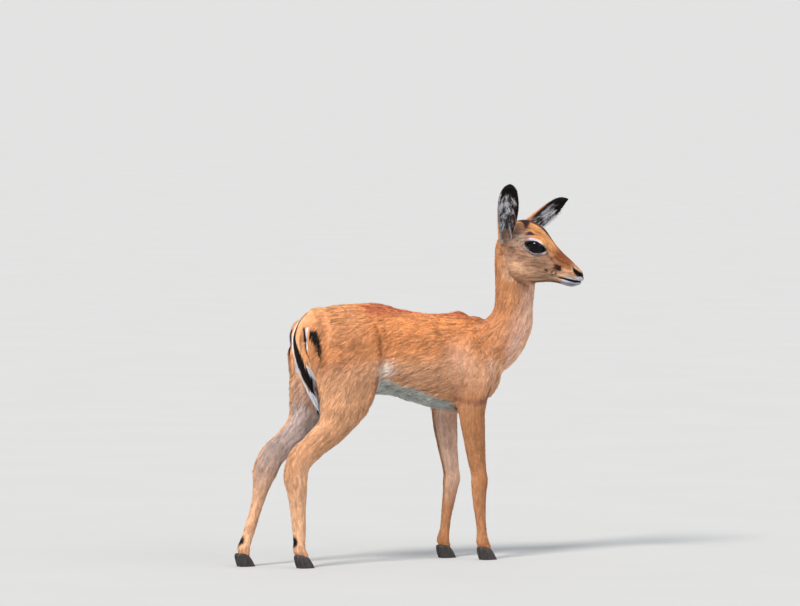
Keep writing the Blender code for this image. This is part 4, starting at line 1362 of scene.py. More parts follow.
def scattered(faces, weights, number):
    """Random places on a mesh: a triangle each, by weight, and three shares of its corners."""
    bounds = np.cumsum(weights)
    chosen = np.searchsorted(bounds, rng.random(number) * bounds[-1])
    chosen = np.minimum(chosen, len(faces) - 1)
    u, v = rng.random((2, number))
    over = u + v > 1
    u, v = np.where(over, 1 - u, u), np.where(over, 1 - v, v)
    return chosen, np.stack((1 - u - v, u, v), 1)


def at_corners(values, corners, share):
    """A value carried by a mesh's points, blended within its triangles."""
    return (values[corners] * share[..., None]).sum(1)


def areas_of(points, faces):
    """Each triangle's area: half the length of the cross product of two of its edges."""
    first = points[faces[:, 1]] - points[faces[:, 0]]
    second = points[faces[:, 2]] - points[faces[:, 0]]
    return np.linalg.norm(np.cross(first, second), axis=1) / 2


def swayed(lie, normals, angle):
    """Directions on the skin turned about its outward direction by an angle each."""
    return lie * np.cos(angle)[:, None] + np.cross(normals, lie) * np.sin(angle)[:, None]


# ---- the pieces ---------------------------------------------------------------------------------

# Where the drawing frame lies in the row's frame: the right eye's solid tells.
eye_low, eye_high = (np.array(corner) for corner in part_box("eye_right"))
SHIFT = (eye_low + eye_high) / 2 - from_head((0, -EYE_SIDE, EYE_RISE))

# Lock colour runs from painted shade at the root to painted light at the tip.
ROOT_SHADE = 0.74
TIP_SHADE = 1.12
# The width of one lock's patch on the map that its colours are baked to.
PATCH = 0.003


def place(points):
    """Points of the drawing frame in the row's frame."""
    return points + SHIFT


def skin_object(points, faces, normals, shares, lie):
    """The skin with its colours and its unwrap, and that unwrap's corners by triangle."""
    made = object_of("skin", place(points), faces)
    mesh = made.data
    mesh.materials.append(skin_paint())
    set_colours(mesh, toned(coat_colours(points, normals, shares), points, lie, shares))
    upright = mesh.attributes.new("upright", "FLOAT", "POINT")
    lean = ease(0.3, 0.7, 1 - shares[:, 0])
    upright.data.foreach_set("value", lean.astype(np.float32))
    bpy.context.view_layer.objects.active = made
    made.select_set(True)
    bpy.ops.object.mode_set(mode="EDIT")
    bpy.ops.mesh.select_all(action="SELECT")
    bpy.ops.uv.smart_project(angle_limit=1.15, island_margin=0.004)
    bpy.ops.object.mode_set(mode="OBJECT")
    made.select_set(False)
    layer = mesh.uv_layers.active
    layer.name = "OFBake"
    uv = np.empty(len(faces) * 6, np.float32)
    layer.data.foreach_get("uv", uv)
    return made, uv.reshape(-1, 3, 2)


def hairy(points):
    """1 where hair grows: not in the eyes' openings, the nostrils, the mouth or on the hooves."""
    h = facing_head(points)
    lid, _, _ = lid_measure(h)
    in_eye = ease(1.13, 1.05, lid) * ease(*EYE_BARE, h[:, 1])
    bare = np.maximum(in_eye, side_stripe(h, NOSTRIL, NOSTRIL_HALF, 0.0004))
    bare = np.maximum(bare, side_stripe(h, MOUTH, MOUTH_HALF, 0.0004))
    bare = np.maximum(bare, nose_pad(h))
    return (1 - bare) * (points[:, 2] > 0.023)


def coat_reach(points, shares, values):
    """A size of the coat by part, less down the legs, on the muzzle and round the eyes."""
    h = facing_head(points)
    size = shares @ values
    legs = shares[:, 3] + shares[:, 4]
    size = size * (1 - legs * 0.45 * ease(0.30, 0.06, points[:, 2]))
    x, y, _ = points.T
    size = size * (1 - 0.65 * ease(-0.170, -0.185, x) * ease(0.045, 0.030, np.abs(y)))
    size = size * (1 - shares[:, 2] * 0.50 * ease(-0.010, 0.075, h[:, 0]))
    lid, _, _ = lid_measure(h)
    return size * (1 - shares[:, 2] * 0.40 * ease(2.2, 1.3, lid))


Body = namedtuple("Body", "points faces normals shares lie uv")
Roots = namedtuple("Roots", "places outward way shares uv")


def rooted(body, weights, number):
    """Random roots on the skin by each triangle's weight, with the way that the hair lies there."""
    chosen, share = scattered(body.faces, weights, number)
    corners = body.faces[chosen]
    outward = unit(at_corners(body.normals, corners, share))
    way = square_to(at_corners(body.lie, corners, share), outward)
    places = at_corners(body.points, corners, share)
    root_uv = (body.uv[chosen] * share[..., None]).sum(1)
    return Roots(places, outward, way, at_corners(body.shares, corners, share), root_uv)


def clumped(roots, cell):
    """How far sideways each root is from the middle of its clump, and a value that a clump's roots
    share. Clumps are the cells of a lattice with their middles moved about."""
    cells = np.floor(roots.places / cell)
    moved = np.stack([drift(cells * 9.7, 1.0, seed) for seed in (31, 32, 33)], 1)
    pull = (cells + 0.5 + 0.4 * moved) * cell - roots.places
    pull = pull - roots.outward * dot(pull, roots.outward) - roots.way * dot(pull, roots.way)
    return pull, moved[:, 0]


def grow(name, roots, length, width, lift, bend, cell, stations):
    """A piece of coat on these roots: locks that sway together and gather in clumps."""
    number = len(roots.places)
    pull, clump = clumped(roots, cell)
    angle = 0.22 * drift(roots.places, 0.018, 11) + rng.normal(0, 0.10, number)
    angle *= 1 - 0.7 * roots.shares[:, 5]
    way = swayed(roots.way, roots.outward, angle)
    length = length * rng.uniform(0.70, 1.25, number) * (1 + 0.12 * clump)
    way = unit(way * length[:, None] + 0.4 * pull)
    width = width * rng.uniform(0.75, 1.25, number)
    lift = np.radians(lift + rng.normal(0, 2.5, number) + 5 * clump)
    # Each lock's tone varies at random, and clumps that stand higher are painted lighter, as painted
    # light on the raised clumps.
    tone = 1 + rng.normal(0, 0.10, number) + 0.12 * clump
    colours = coat_colours(roots.places, roots.outward, roots.shares)
    colours = toned(colours, roots.places, roots.way, roots.shares) * tone[:, None]
    made = locks(roots.places, roots.outward, way, length, width, lift, bend, stations)
    finish_piece(coat_object(name, *made, colours, roots.uv, coat_paint()))


def coat(body):
    """The short hair of the body, part by part, lying along the skin."""
    part = body.shares[body.faces].mean(1).argmax(1)
    middles = body.points[body.faces].mean(1)
    area = areas_of(body.points, body.faces) * hairy(middles)
    right = middles[:, 1] < 0
    ahead = middles[:, 0] > 0.040
    muzzle = in_head(middles)[:, 0] > 0.012
    anywhere = np.ones(len(middles), bool)
    regions = {
        "trunk_right_front": (0, right & ahead),
        "trunk_right_rear": (0, right & ~ahead),
        "trunk_left_front": (0, ~right & ahead),
        "trunk_left_rear": (0, ~right & ~ahead),
        "neck": (1, anywhere),
        "cheeks": (2, ~muzzle),
        "muzzle": (2, muzzle),
        "fore_right": (3, right),
        "fore_left": (3, ~right),
        "hind_right": (4, right),
        "hind_left": (4, ~right),
        "tail": (5, anywhere),
    }
    for name, (index, wanted) in regions.items():
        density = COAT_DENSITY[index] * (1.4 if name == "muzzle" else 1)
        weights = area * ((part == index) & wanted)
        roots = rooted(body, weights, int(weights.sum() * density))
        length = coat_reach(roots.places, roots.shares, COAT_LENGTH)
        width = coat_reach(roots.places, roots.shares, COAT_WIDTH)
        clump = COAT_CLUMP * COAT_LENGTH[index]
        grow(f"coat_{name}", roots, length, width, COAT_LIFT[index], 0.10, clump, 1)


LongHair = namedtuple("LongHair", "wanted number length width lift bend")


def long_hair(body):
    """Longer locks: the thigh's ruffled rear, the belly's edge and flank fold, tail and chest."""
    middles = body.points[body.faces].mean(1)
    x, y, z = middles.T
    side = np.abs(y)
    shares = body.shares[body.faces].mean(1)
    trunk, tail = shares[:, 0], shares[:, 5]
    area = areas_of(body.points, body.faces) * hairy(middles)
    thigh = ease(-0.10, -0.15, x) * ease(0.30, 0.36, z) * ease(0.52, 0.47, z) * (tail < 0.1)
    thigh *= 1 - ease(-0.165, -0.180, x) * ease(0.385, 0.400, z)
    edge = hump(-0.004, 0.010, z - np.interp(x, BELLY_AT, BELLY_RISE))
    belly = edge * trunk * (side > 0.02) * ease(0.17, 0.14, x) * ease(-0.16, -0.12, x)
    fold = hump(-0.034, 0.014, x) * hump(0.400, 0.016, z) * (side > 0.04)
    chest = ease(0.18, 0.22, x) * ease(0.46, 0.42, z) * ease(0.32, 0.36, z) * trunk
    kinds = {
        "thighs": LongHair(thigh, 4000, 0.0170, 0.0013, 11, 0.12),
        "belly": LongHair(belly, 2400, 0.0165, 0.0014, 18, 0.12),
        "flank_fold": LongHair(fold, 560, 0.0180, 0.0015, 22, 0.16),
        "tail": LongHair(tail**2 * ease(0.44, 0.39, z), 1500, 0.0170, 0.0012, 6, 0.06),
        "chest": LongHair(chest, 700, 0.0130, 0.0014, 13, 0.14),
    }
    for name, hair in kinds.items():
        roots = rooted(body, area * hair.wanted, hair.number)
        ones = np.ones(hair.number)
        grow(f"hair_{name}", roots, hair.length * ones, hair.width * ones, hair.lift, hair.bend,
             HAIR_CLUMP * hair.length, 2)


# The ears in the head's frame: root, the way each points and faces, and which of its rims is front.
EARS = {
    "right": (from_head((-0.0670, -0.0335, -0.010)), EAR_RIGHT_POINTS, EAR_RIGHT_FACES, 1),
    "left": (from_head((-0.0605, 0.0335, -0.0055)), EAR_LEFT_POINTS, EAR_LEFT_FACES, -1),
}
EAR_FORM = EAR + [EarRing(1.008, 0.0010, 40)]
# Patches inside an ear: how far along, how far to the front rim, their two half-sizes and dye.
EAR_PATCHES = (
    (0.52, 0.62, 0.060, 0.46, "black"),
    (0.40, -0.50, 0.055, 0.40, "black"),
    (0.15, 0.10, 0.120, 0.30, "black"),
    (0.33, 0.86, 0.130, 0.22, "spot_brown"),
    (0.14, 0.95, 0.070, 0.24, "spot_black"),
    (0.16, 0.50, 0.100, 0.16, "ear_hair"),
    (0.16, -0.48, 0.130, 0.32, "ear_hair"),
    (0.60, -0.30, 0.110, 0.36, "ear_hair"),
    # The grey at the root of the hollow is painted shade.
    (-0.04, 0.00, 0.080, 1.20, "ear_base_and_shade"),
)


def ear_place(side, u, v, inside):
    """A point of an ear's shell, its outward direction and how far along it is. The shell is a
    strip curled about a line: centre + radius * (across * sin(v * curl) - faces * cos(v * curl)),
    with the line moved forwards by a share of the radius, and thinner towards its rims."""
    root, points, faces, _ = EARS[side]
    points = unit(points @ HEAD_AXES)
    faces = faces @ HEAD_AXES
    faces = unit(faces - points * (faces @ points))
    across = np.cross(points, faces)
    along, half, curl = spline(EAR_FORM, u).T
    curl = np.radians(curl)
    radius = half / curl
    turn = v * curl
    out = across * np.sin(turn)[:, None] - faces * np.cos(turn)[:, None]
    thick = np.minimum(EAR_THICKNESS, radius * 0.5) * (1 - 0.55 * v**4)
    ridge = 0.0007 * np.cos(3 * math.pi * v) * ease(0.10, 0.30, along) * ease(0.95, 0.75, along)
    reach = radius + np.where(inside, -thick / 2 - ridge, thick / 2 + 0.3 * ridge)
    centre = root + points * (along * EAR_LENGTH)[:, None] + faces * (radius * 0.45)[:, None]
    return centre + out * reach[:, None], np.where(inside, -1, 1)[:, None] * out, along, points


def ear_colours(places, along, v, inside, front):
    """Grey-white hair inside with black patches, tan behind, and a black tip and rims."""
    wander = drift(places, 0.007, 21) + 0.5 * drift(places, 0.003, 22)
    v = v * front
    inner = np.tile(DYES["ear_inner"], (len(places), 1))
    for at, off, half_along, half_off, dye in EAR_PATCHES:
        near = np.sqrt(((along - at) / half_along) ** 2 + ((v - off) / half_off) ** 2)
        inner = dyed(inner, dye, 0.92 * ease(1.25, 0.75, near + 0.30 * wander))
    inner = dyed(inner, "ear_hair", 0.7 * ease(0.35, 0.8, wander))
    inner = dyed(inner, "spot_black", 0.6 * ease(0.45, 0.9, -wander))
    outer = np.tile(DYES["ear_back"], (len(places), 1))
    outer = dyed(outer, "forehead", ease(0.30, 0.0, along))
    outer = dyed(outer, "spot_brown", 0.8 * ease(0.35, 0.85, v + 0.15 * wander))
    colours = np.where(inside[:, None], inner, outer)
    front_rim = ease(0.76, 0.86, v) * ease(0.30, 0.42, along)
    rear_rim = ease(0.84, 0.93, -v) * ease(0.60, 0.70, along)
    colours = dyed(colours, "black", front_rim + rear_rim)
    tip = 0.71 - 0.08 * v**2
    return dyed(colours, "black", ease(-0.025, 0.025, along - tip + 0.020 * wander))


def ear_uv(u, v, inside):
    """The ear's unwrap: the back on one half of the map and the hollow on the other."""
    return np.stack((np.where(inside, 0.52, 0.02) + 0.46 * u, 0.02 + 0.48 * (v + 1)), 1)


def ear_skin(side):
    """One ear's shell as a closed tube round its two sheets."""
    steps, columns = 70, 35
    across = np.concatenate((np.linspace(-1, 1, columns), np.linspace(1, -1, columns)))
    u, v = (g.ravel() for g in np.meshgrid(np.linspace(0, 1, steps), across, indexing="ij"))
    inside = np.tile(np.arange(2 * columns) >= columns, steps)
    places, _, along, _ = ear_place(side, u, v, inside)
    points, faces = shell(places.reshape(steps, 2 * columns, 3))
    made = object_of(f"ear_{side}_skin", place(points), faces)
    set_colours(made.data, ear_colours(places, along, v, inside, EARS[side][3]))
    made.data.materials.append(ear_paint())
    uv = ear_uv(u, v, inside)
    corners = np.array([i for polygon in faces for i in polygon])
    set_uv(made.data, uv[corners])
    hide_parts(f"ear_{side}")
    finish_piece(made)


EarHair = namedtuple("EarHair", "number inside low high outer length width lift spread stations")
# Hair of an ear by kind. Low and high are how far along it grows, outer how near to the rims.
EAR_HAIR = {
    "short": EarHair(6500, False, 0.02, 0.985, 0.0, 0.0062, 0.0009, 9, 0.10, 1),
    "lining": EarHair(4200, True, 0.04, 0.95, 0.0, 0.0058, 0.0009, 12, 0.30, 1),
    "long": EarHair(1500, True, 0.08, 0.64, 0.2, 0.0170, 0.0012, 17, 0.35, 2),
    "fringe": EarHair(460, True, 0.02, 0.62, 0.9, 0.0105, 0.0010, 14, -0.45, 2),
}


def ear_hair(side):
    """Short hair on an ear's back, pale and black hair in its hollow, and its rear rim's fringe."""
    front = EARS[side][3]
    for kind, hair in EAR_HAIR.items():
        number = hair.number
        u = rng.uniform(hair.low, hair.high, number)
        v = rng.uniform(-0.97, 0.97, number)
        v = np.sign(v) * np.abs(v) ** (1 - 0.5 * hair.outer)
        if kind == "fringe":
            v = -front * rng.uniform(0.86, 0.98, number)
        within = np.full(number, hair.inside)
        roots, outward, along, points = ear_place(side, u, v, within)
        across = np.cross(outward, points)
        turned = v * (-1 if hair.inside else 1)
        way = unit(points[None] - hair.spread * across * turned[:, None])
        way = swayed(square_to(way, outward), outward, rng.normal(0, 0.2, number))
        length = hair.length * rng.uniform(0.6, 1.25, number) * (1 - 0.6 * ease(0.78, 1.0, along))
        width = hair.width * rng.uniform(0.7, 1.3, number)
        lift = np.radians(hair.lift + rng.normal(0, 4, number))
        colours = ear_colours(roots, along, v, within, front)
        if kind == "fringe":
            colours = dyed(colours, "ear_hair", np.full(number, 0.85))
        spread = 0.35 if hair.inside else 0.12
        colours = colours * np.maximum(1 + rng.normal(0, spread, number), 0.1)[:, None]
        if hair.inside and kind != "fringe":
            dark = ease(-0.02, 0.16, drift(roots, 0.0055, 23))
            colours = dyed(colours, "spot_black", 0.94 * dark)
        made, facing = locks(roots, outward, way, length, width, lift, 0.12, hair.stations)
        if hair.inside:
            facing = unit(facing + 1.2 * unit(EARS[side][2] @ HEAD_AXES))
        name = f"ear_{side}_{kind}_hair"
        piece = coat_object(name, made, facing, colours, ear_uv(u, v, within), coat_paint())
        finish_piece(piece)


def eyeball(side_name, side):
    """A ball whose pole looks sideways: rings of radius sin(t) at height cos(t), with the cornea
    raised over the iris by a bell of t."""
    steps, columns = 48, 64
    t = np.linspace(0.004, math.pi - 0.004, steps)[:, None]
    turn = round_turn(columns)[None]
    radius = BALL_RADIUS + 0.0009 * np.exp(-((t / 0.62) ** 2))
    parts = (np.sin(t) * np.cos(turn), side * (np.cos(t) + 0 * turn), np.sin(t) * np.sin(turn) * side)
    h = np.stack(parts, -1) * radius[..., None] + (0, side * BALL_SIDE, EYE_RISE)
    points, faces = shell(from_head(h))
    made = object_of(f"eyeball_{side_name}", place(points), faces)
    flat = np.stack(parts, -1).reshape(-1, 3)
    pupil = np.sqrt((flat[:, 0] / 0.46) ** 2 + (flat[:, 2] / 0.30) ** 2)
    iris = np.sqrt(flat[:, 0] ** 2 + flat[:, 2] ** 2)
    colours = np.tile(DYES["eyeball"], (len(points), 1))
    spokes = 0.5 + 0.5 * np.cos(np.arctan2(flat[:, 2], flat[:, 0]) * 46)
    brown = DYES["iris"] * (0.75 + 0.35 * spokes[:, None])
    share = (ease(0.72, 0.66, iris) * ease(0.98, 1.06, pupil))[:, None]
    colours = colours * (1 - share) + brown * share
    set_colours(made.data, dyed(colours, "pupil", ease(1.03, 0.97, pupil)))
    made.data.materials.append(eye_paint())
    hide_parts(f"eye_{side_name}")
    finish_piece(made)


def lid_rim_path(skin_tree, side, grown):
    """The eye's opening, made a share larger, laid on the skin or lids that it crosses."""
    t = round_turn(96)
    x = grown * np.cos(t) * LID_HALF[0]
    y = grown * np.sin(t) / np.sqrt(1 + LID_PINCH * np.cos(t) ** 2) * LID_HALF[1]
    c, s = math.cos(LID_TILT), math.sin(LID_TILT)
    along = LID_MIDDLE[0] + x * c - y * s
    rise = LID_MIDDLE[1] + x * s + y * c
    sideways = []
    inward = Vector(HEAD_AXES[1] * -side)
    for a, r in zip(along, rise):
        start = Vector(from_head((a, side * 0.08, r)))
        hit = skin_tree.ray_cast(start, inward)[0]
        sideways.append(abs(in_head(np.array(hit))[1]))
    sideways = np.array(sideways)
    for _ in range(3):
        sideways = (np.roll(sideways, 1) + sideways * 2 + np.roll(sideways, -1)) / 4
    return t, np.stack((along, side * sideways, rise), 1)


def lid_rims(skin_tree):
    """The black rims of the lids: a round cord carried round each opening, thinner at its corners."""
    shells = []
    for side in (-1, 1):
        t, outer = lid_rim_path(skin_tree, side, 1.10)
        _, path = lid_rim_path(skin_tree, side, 1.01)
        path[:, 1] = outer[:, 1] - side * 0.0003
        outward = unit((path - path.mean(0)) * (1, 0, 1))
        thick = 0.00135 - 0.0005 * np.abs(np.cos(t)) ** 8
        turn = round_turn(12)
        sideways = np.array((0, side, 0))
        ring = outward[:, None] * np.cos(turn)[None, :, None] + sideways * np.sin(turn)[None, :, None]
        grid = from_head(path[:, None] + ring * thick[:, None, None])
        rings, columns = grid.shape[:2]
        faces = tube_faces(rings + 1, columns) % (rings * columns)
        shells.append((grid.reshape(-1, 3), faces.tolist()))
    points, faces = joined(shells)
    made = object_of("lid_rims", place(points), faces)
    made.data.materials.append(lid_paint())
    finish_piece(made)


# Lashes on each upper lid, the thickness of one, and where their row starts and ends round the eye.
LASHES = 80
LASH_THICK = 0.0004
LASH_ROW = (math.radians(18), math.radians(165))


def lashes(skin_tree):
    """Upper lashes, in a row along each lid, swept outwards, down and back."""
    roots, ways, outs = [], [], []
    for side in (-1, 1):
        t, path = lid_rim_path(skin_tree, side, 1.06)
        upper = np.flatnonzero((t > LASH_ROW[0]) & (t < LASH_ROW[1]))
        picked = rng.choice(upper, LASHES)
        roots.append(from_head(path[picked] + rng.normal(0, 0.0003, (LASHES, 3))))
        swing = np.cos(t[picked])
        way = np.stack((0.55 * swing - 0.25, np.full(LASHES, side * 1.0), 0.05 + 0 * swing), 1)
        ways.append(unit(way + rng.normal(0, 0.12, (LASHES, 3))) @ HEAD_AXES)
        outs.append(np.tile(HEAD_AXES[2], (LASHES, 1)))
    roots, ways, outs = (np.concatenate(rows) for rows in (roots, ways, outs))
    number = len(roots)
    length = rng.uniform(0.0045, 0.0075, number)
    made = locks(roots, outs, ways, length, np.full(number, LASH_THICK), np.full(number, 0.15), 0.3, 2)
    colours = np.tile(DYES["black"], (number, 1))
    root_uv = np.stack((np.linspace(0.05, 0.95, number), np.full(number, 0.5)), 1)
    finish_piece(coat_object("lashes", *made, colours, root_uv, coat_paint()))


# A toe's outlines from the sole up: height, and its length and width as shares of the hoof's.
TOE = ((0.0, 0.97, 0.97), (0.0012, 1.0, 1.0), (0.005, 0.99, 1.0), (0.013, 0.93, 0.98),
       (0.021, 0.80, 0.90), (0.0255, 0.62, 0.72), (0.0270, 0.50, 0.60))


def toe_grid(foot, side):
    """A horn toe: pointed outlines that lean back from the sole, bowed in at the toe, with fine
    growth rings as a wave up its wall."""
    height, length, width = spline(TOE, np.linspace(0, 1, 40)).T[:, :, None]
    turn = round_turn(40)[None]
    c, s = np.cos(turn), np.sin(turn)
    grow = 1 + 0.012 * np.sin(height * 2 * math.pi / 0.0028) * ease(0.001, 0.004, height)
    reach = HOOF_LENGTH / 2 * length * grow * np.where(c > 0, 1.06, 0.94)
    bow = np.where(c > 0, 1 - 0.30 * c, 1)
    x = foot[0] - 0.45 * height + c * reach
    y = foot[1] + side * (HOOF_SPREAD + 0.10 * c * HOOF_WIDTH) + s * HOOF_WIDTH / 2 * width * bow * grow
    return np.stack((x, y, height + 0 * c), -1)


def hooves():
    """Two toes under each foot, over the toes of the solids."""
    for foot, (path, _) in LEGS.items():
        middle = np.array(path[-1]) + (0.001, 0, 0)
        points, faces = joined([shell(toe_grid(middle, side)) for side in (-1, 1)])
        made = object_of(f"horn_{foot}", place(points), faces)
        made.data.materials.append(horn_paint())
        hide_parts(f"hoof_{foot}_right_toe", f"hoof_{foot}_left_toe")
        finish_piece(made)


def finish_piece(made):
    """Every piece is part of the one still body."""
    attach(made, "root")


# ---- finishes -----------------------------------------------------------------------------------


def node_group(name, inputs, outputs):
    """An empty shader group with these named sockets, and its input and output nodes."""
    group = bpy.data.node_groups.new(name, "ShaderNodeTree")
    for label, kind, value in inputs:
        socket = group.interface.new_socket(label, in_out="INPUT", socket_type=kind)
        if value is not None:
            socket.default_value = value
    for label, kind in outputs:
        group.interface.new_socket(label, in_out="OUTPUT", socket_type=kind)
    return group, group.nodes.new("NodeGroupInput"), group.nodes.new("NodeGroupOutput")


def add_node(tree, kind, **values):
    """A new shader node with these constants on its sockets."""
    made = tree.nodes.new("ShaderNode" + kind)
    for name, value in values.items():
        made.inputs[name].default_value = value
    return made


def drawn_noise(tree, stretch, **values):
    """Noise on the piece's own coordinates, drawn out along some of its axes."""
    spot = add_node(tree, "TexCoord")
    mapping = add_node(tree, "Mapping", Scale=stretch)
    noise = add_node(tree, "TexNoise", **values)
    tree.links.new(spot.outputs["Object"], mapping.inputs["Vector"])
    tree.links.new(mapping.outputs["Vector"], noise.inputs["Vector"])
    return noise


def attribute(tree, name):
    """A node that reads one of the mesh's attributes."""
    made = add_node(tree, "Attribute")
    made.attribute_name = name
    return made


def raise_grain(tree, surface, height, depth, strength):
    """Bumps a surface by a height."""
    raised = add_node(tree, "Bump", Distance=depth, Strength=strength)
    tree.links.new(height, raised.inputs["Height"])
    tree.links.new(raised.outputs["Normal"], surface.inputs["Normal"])


def streak_group():
    """Fine grain drawn out along X or, where Upright is 1, along Z: a height and a shaded colour."""
    group, given, made = node_group(
        "hair_streaks",
        (
            ("Color", "NodeSocketColor", (1, 1, 1, 1)),
            ("Upright", "NodeSocketFloat", 0.0),
            ("Scale", "NodeSocketFloat", 700.0),
            ("Strength", "NodeSocketFloat", 0.3),
        ),
        (("Color", "NodeSocketColor"), ("Height", "NodeSocketFloat")),
    )
    links = group.links
    grains = []
    for stretch in ((0.16, 1, 1), (1, 1, 0.16)):
        noise = drawn_noise(group, stretch, Detail=3)
        links.new(given.outputs["Scale"], noise.inputs["Scale"])
        grains.append(noise.outputs["Fac"])
    mixed = add_node(group, "Mix")
    links.new(given.outputs["Upright"], mixed.inputs["Factor"])
    links.new(grains[0], mixed.inputs["A"])
    links.new(grains[1], mixed.inputs["B"])
    centred = add_node(group, "Math")
    centred.operation = "SUBTRACT"
    centred.inputs[1].default_value = 0.5
    links.new(mixed.outputs["Result"], centred.inputs[0])
    gain = add_node(group, "Math")
    gain.operation = "MULTIPLY_ADD"
    gain.inputs[2].default_value = 1
    links.new(centred.outputs["Value"], gain.inputs[0])
    links.new(given.outputs["Strength"], gain.inputs[1])
    shaded = add_node(group, "VectorMath")
    shaded.operation = "SCALE"
    links.new(given.outputs["Color"], shaded.inputs[0])
    links.new(gain.outputs["Value"], shaded.inputs["Scale"])
    links.new(shaded.outputs["Vector"], made.inputs["Color"])
    links.new(mixed.outputs["Result"], made.inputs["Height"])
    return group


STREAKS = streak_group()


def principled(name, rough, specular=0.5):
    """A new material: its tree, its surface shader, with these two constants set."""
    paint = bpy.data.materials.new(name)
    paint.use_nodes = True
    surface = paint.node_tree.nodes["Principled BSDF"]
    surface.inputs["Roughness"].default_value = rough
    surface.inputs["Specular IOR Level"].default_value = specular
    return paint, paint.node_tree, surface


def furred(name, upright, scale, strength, depth, rough):
    """A material that takes the coat's colours, shades them in streaks and raises the grain."""
    paint, tree, surface = principled(name, rough, 0.15)
    surface.inputs["Sheen Weight"].default_value = 0.05
    surface.inputs["Sheen Roughness"].default_value = 0.5
    streaks = tree.nodes.new("ShaderNodeGroup")
    streaks.node_tree = STREAKS
    streaks.inputs["Scale"].default_value = scale
    streaks.inputs["Strength"].default_value = strength
    streaks.inputs["Upright"].default_value = 1
    if upright:
        lean = attribute(tree, upright)
        tree.links.new(lean.outputs["Fac"], streaks.inputs["Upright"])
    tree.links.new(attribute(tree, "coat_colour").outputs["Color"], streaks.inputs["Color"])
    tree.links.new(streaks.outputs["Color"], surface.inputs["Base Color"])
    if depth:
        raise_grain(tree, surface, streaks.outputs["Height"], depth, 0.7)
    return paint


def kept(maker):
    """Makes a material once, and gives the same one each time after."""
    found = []

    def give():
        if not found:
            found.append(maker())
        return found[0]

    return give


@kept
def skin_paint():
    return furred("short_coat", "upright", 620, 0.55, 0.0011, 0.72)


@kept
def coat_paint():
    return furred("hair_locks", None, 260, 0.35, 0, 0.60)


@kept
def ear_paint():
    return furred("ear_velvet", None, 900, 0.5, 0.0006, 0.70)


@kept
def eye_paint():
    """A wet dark ball."""
    paint, tree, surface = principled("wet_eye", 0.05, 0.16)
    tree.links.new(attribute(tree, "coat_colour").outputs["Color"], surface.inputs["Base Color"])
    return paint


def grained(name, low, high, scale, stretch, rough, depth):
    """A material between two colours by drawn-out noise, with the same noise raised a little."""
    paint, tree, surface = principled(name, rough)
    noise = drawn_noise(tree, stretch, Scale=scale, Detail=5)
    ramp = add_node(tree, "ValToRGB")
    for stop, position, dye in zip(ramp.color_ramp.elements, (0.35, 0.68), (low, high)):
        stop.position = position
        stop.color = (*DYES[dye], 1)
    tree.links.new(noise.outputs["Fac"], ramp.inputs["Fac"])
    tree.links.new(ramp.outputs["Color"], surface.inputs["Base Color"])
    raise_grain(tree, surface, noise.outputs["Fac"], depth, 0.5)
    return paint


@kept
def lid_paint():
    return grained("moist_lid", "lid_black", "lid_brown", 900, (1, 1, 1), 0.32, 0.0002)


@kept
def horn_paint():
    return grained("hoof_horn_black", "horn_black", "horn_grey", 420, (1, 1, 0.18), 0.42, 0.0004)


# ---- the stage ----------------------------------------------------------------------------------

# The camera's heading and height angle, how far it stands off, and the width that it sees there.
VIEW_AZIMUTH = math.radians(-30)
VIEW_ELEVATION = math.radians(2.5)
VIEW_DISTANCE = 15.0
VIEW_WIDTH = 1.639
SENSOR = 36.0
# The view's middle, to the right of and above the drawing frame's origin.
VIEW_RIGHT = 0.0225
VIEW_UP = 0.5307
FLOOR_HALF = 700.0


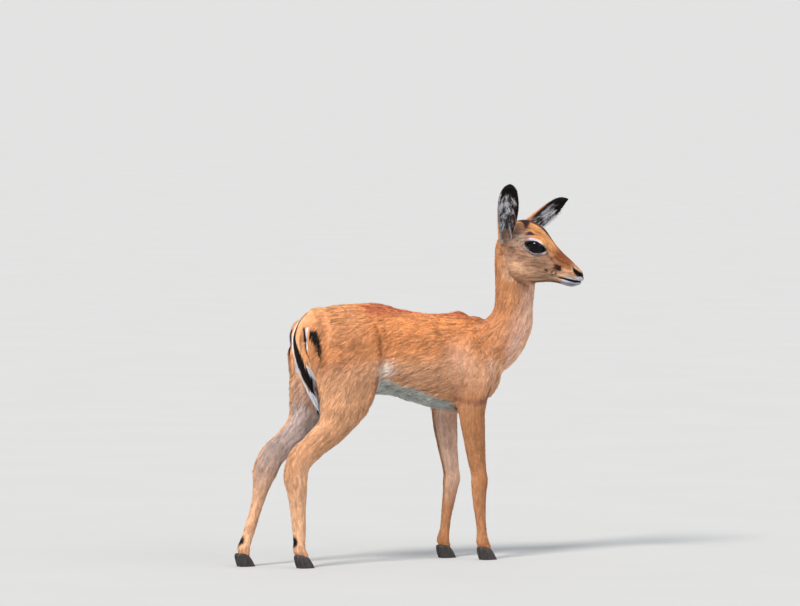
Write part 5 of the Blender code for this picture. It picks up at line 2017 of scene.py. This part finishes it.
def camera():
    """A long lens at the height of the lamb's back, looking slightly down."""
    sin_a, cos_a = math.sin(VIEW_AZIMUTH), math.cos(VIEW_AZIMUTH)
    sin_e, cos_e = math.sin(VIEW_ELEVATION), math.cos(VIEW_ELEVATION)
    right = np.array((cos_a, sin_a, 0))
    back = np.array((sin_a * cos_e, -cos_a * cos_e, sin_e))
    up = np.cross(back, right)
    middle = place(right * VIEW_RIGHT + up * VIEW_UP)
    made = in_scene("camera", bpy.data.cameras.new("camera"))
    made.data.sensor_width = SENSOR
    made.data.lens = SENSOR * VIEW_DISTANCE / VIEW_WIDTH
    made.data.clip_end = 3000
    made.location = Vector(middle + back * VIEW_DISTANCE)
    made.rotation_euler = (math.pi / 2 - VIEW_ELEVATION, 0, VIEW_AZIMUTH)
    bpy.context.scene.camera = made


def sun(name, energy, angle, colour, azimuth, elevation):
    """A soft light from far away, at an azimuth like the camera's and an angle above the floor."""
    made = in_scene(name, bpy.data.lights.new(name, "SUN"))
    made.data.energy = energy
    made.data.angle = math.radians(angle)
    made.data.color = colour
    made.rotation_euler = (math.radians(90 - elevation), 0, math.radians(azimuth))


def stage():
    """A wide pale floor, a pale world and three soft lights."""
    corners = np.array([(x, y, 0) for x, y in ((-1, -1), (1, -1), (1, 1), (-1, 1))]) * FLOOR_HALF
    floor = object_of("floor", corners, [[0, 1, 2, 3]])
    floor.data.materials.append(
        grained("pale_floor", "floor_low", "floor_high", 3, (1, 1, 1), 0.9, 0.0001)
    )
    world = bpy.data.worlds.new("studio")
    world.use_nodes = True
    sky = world.node_tree.nodes["Background"].inputs
    sky["Color"].default_value = (0.86, 0.92, 1.0, 1)
    sky["Strength"].default_value = 0.66
    bpy.context.scene.world = world
    sun("key", 3.4, 16, (1.0, 0.97, 0.92), -62, 46)
    sun("fill", 0.80, 60, (1.0, 0.98, 0.96), 30, 30)
    sun("spark", 0.20, 11, (0.80, 0.90, 1.0), -40, 40)
    bpy.context.scene.view_settings.view_transform = "Standard"


# ---- making -------------------------------------------------------------------------------------

camera()
stage()
skin_points, skin_faces, skin_normals, skin_shares, skin_lie = lamb_skin()
skin, skin_uv = skin_object(skin_points, skin_faces, skin_normals, skin_shares, skin_lie)
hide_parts("head", "neck", "trunk", "tail", "leg_fore_right", "leg_fore_left",
            "leg_hind_right", "leg_hind_left")
finish_piece(skin)
body = Body(skin_points, skin_faces, skin_normals, skin_shares, skin_lie, skin_uv)
coat(body)
long_hair(body)
skin_tree = BVHTree.FromPolygons(skin_points.tolist(), skin_faces.tolist())
lid_rims(skin_tree)
lashes(skin_tree)
for side_name, side in (("right", -1), ("left", 1)):
    eyeball(side_name, side)
    ear_skin(side_name)
    ear_hair(side_name)
hooves()
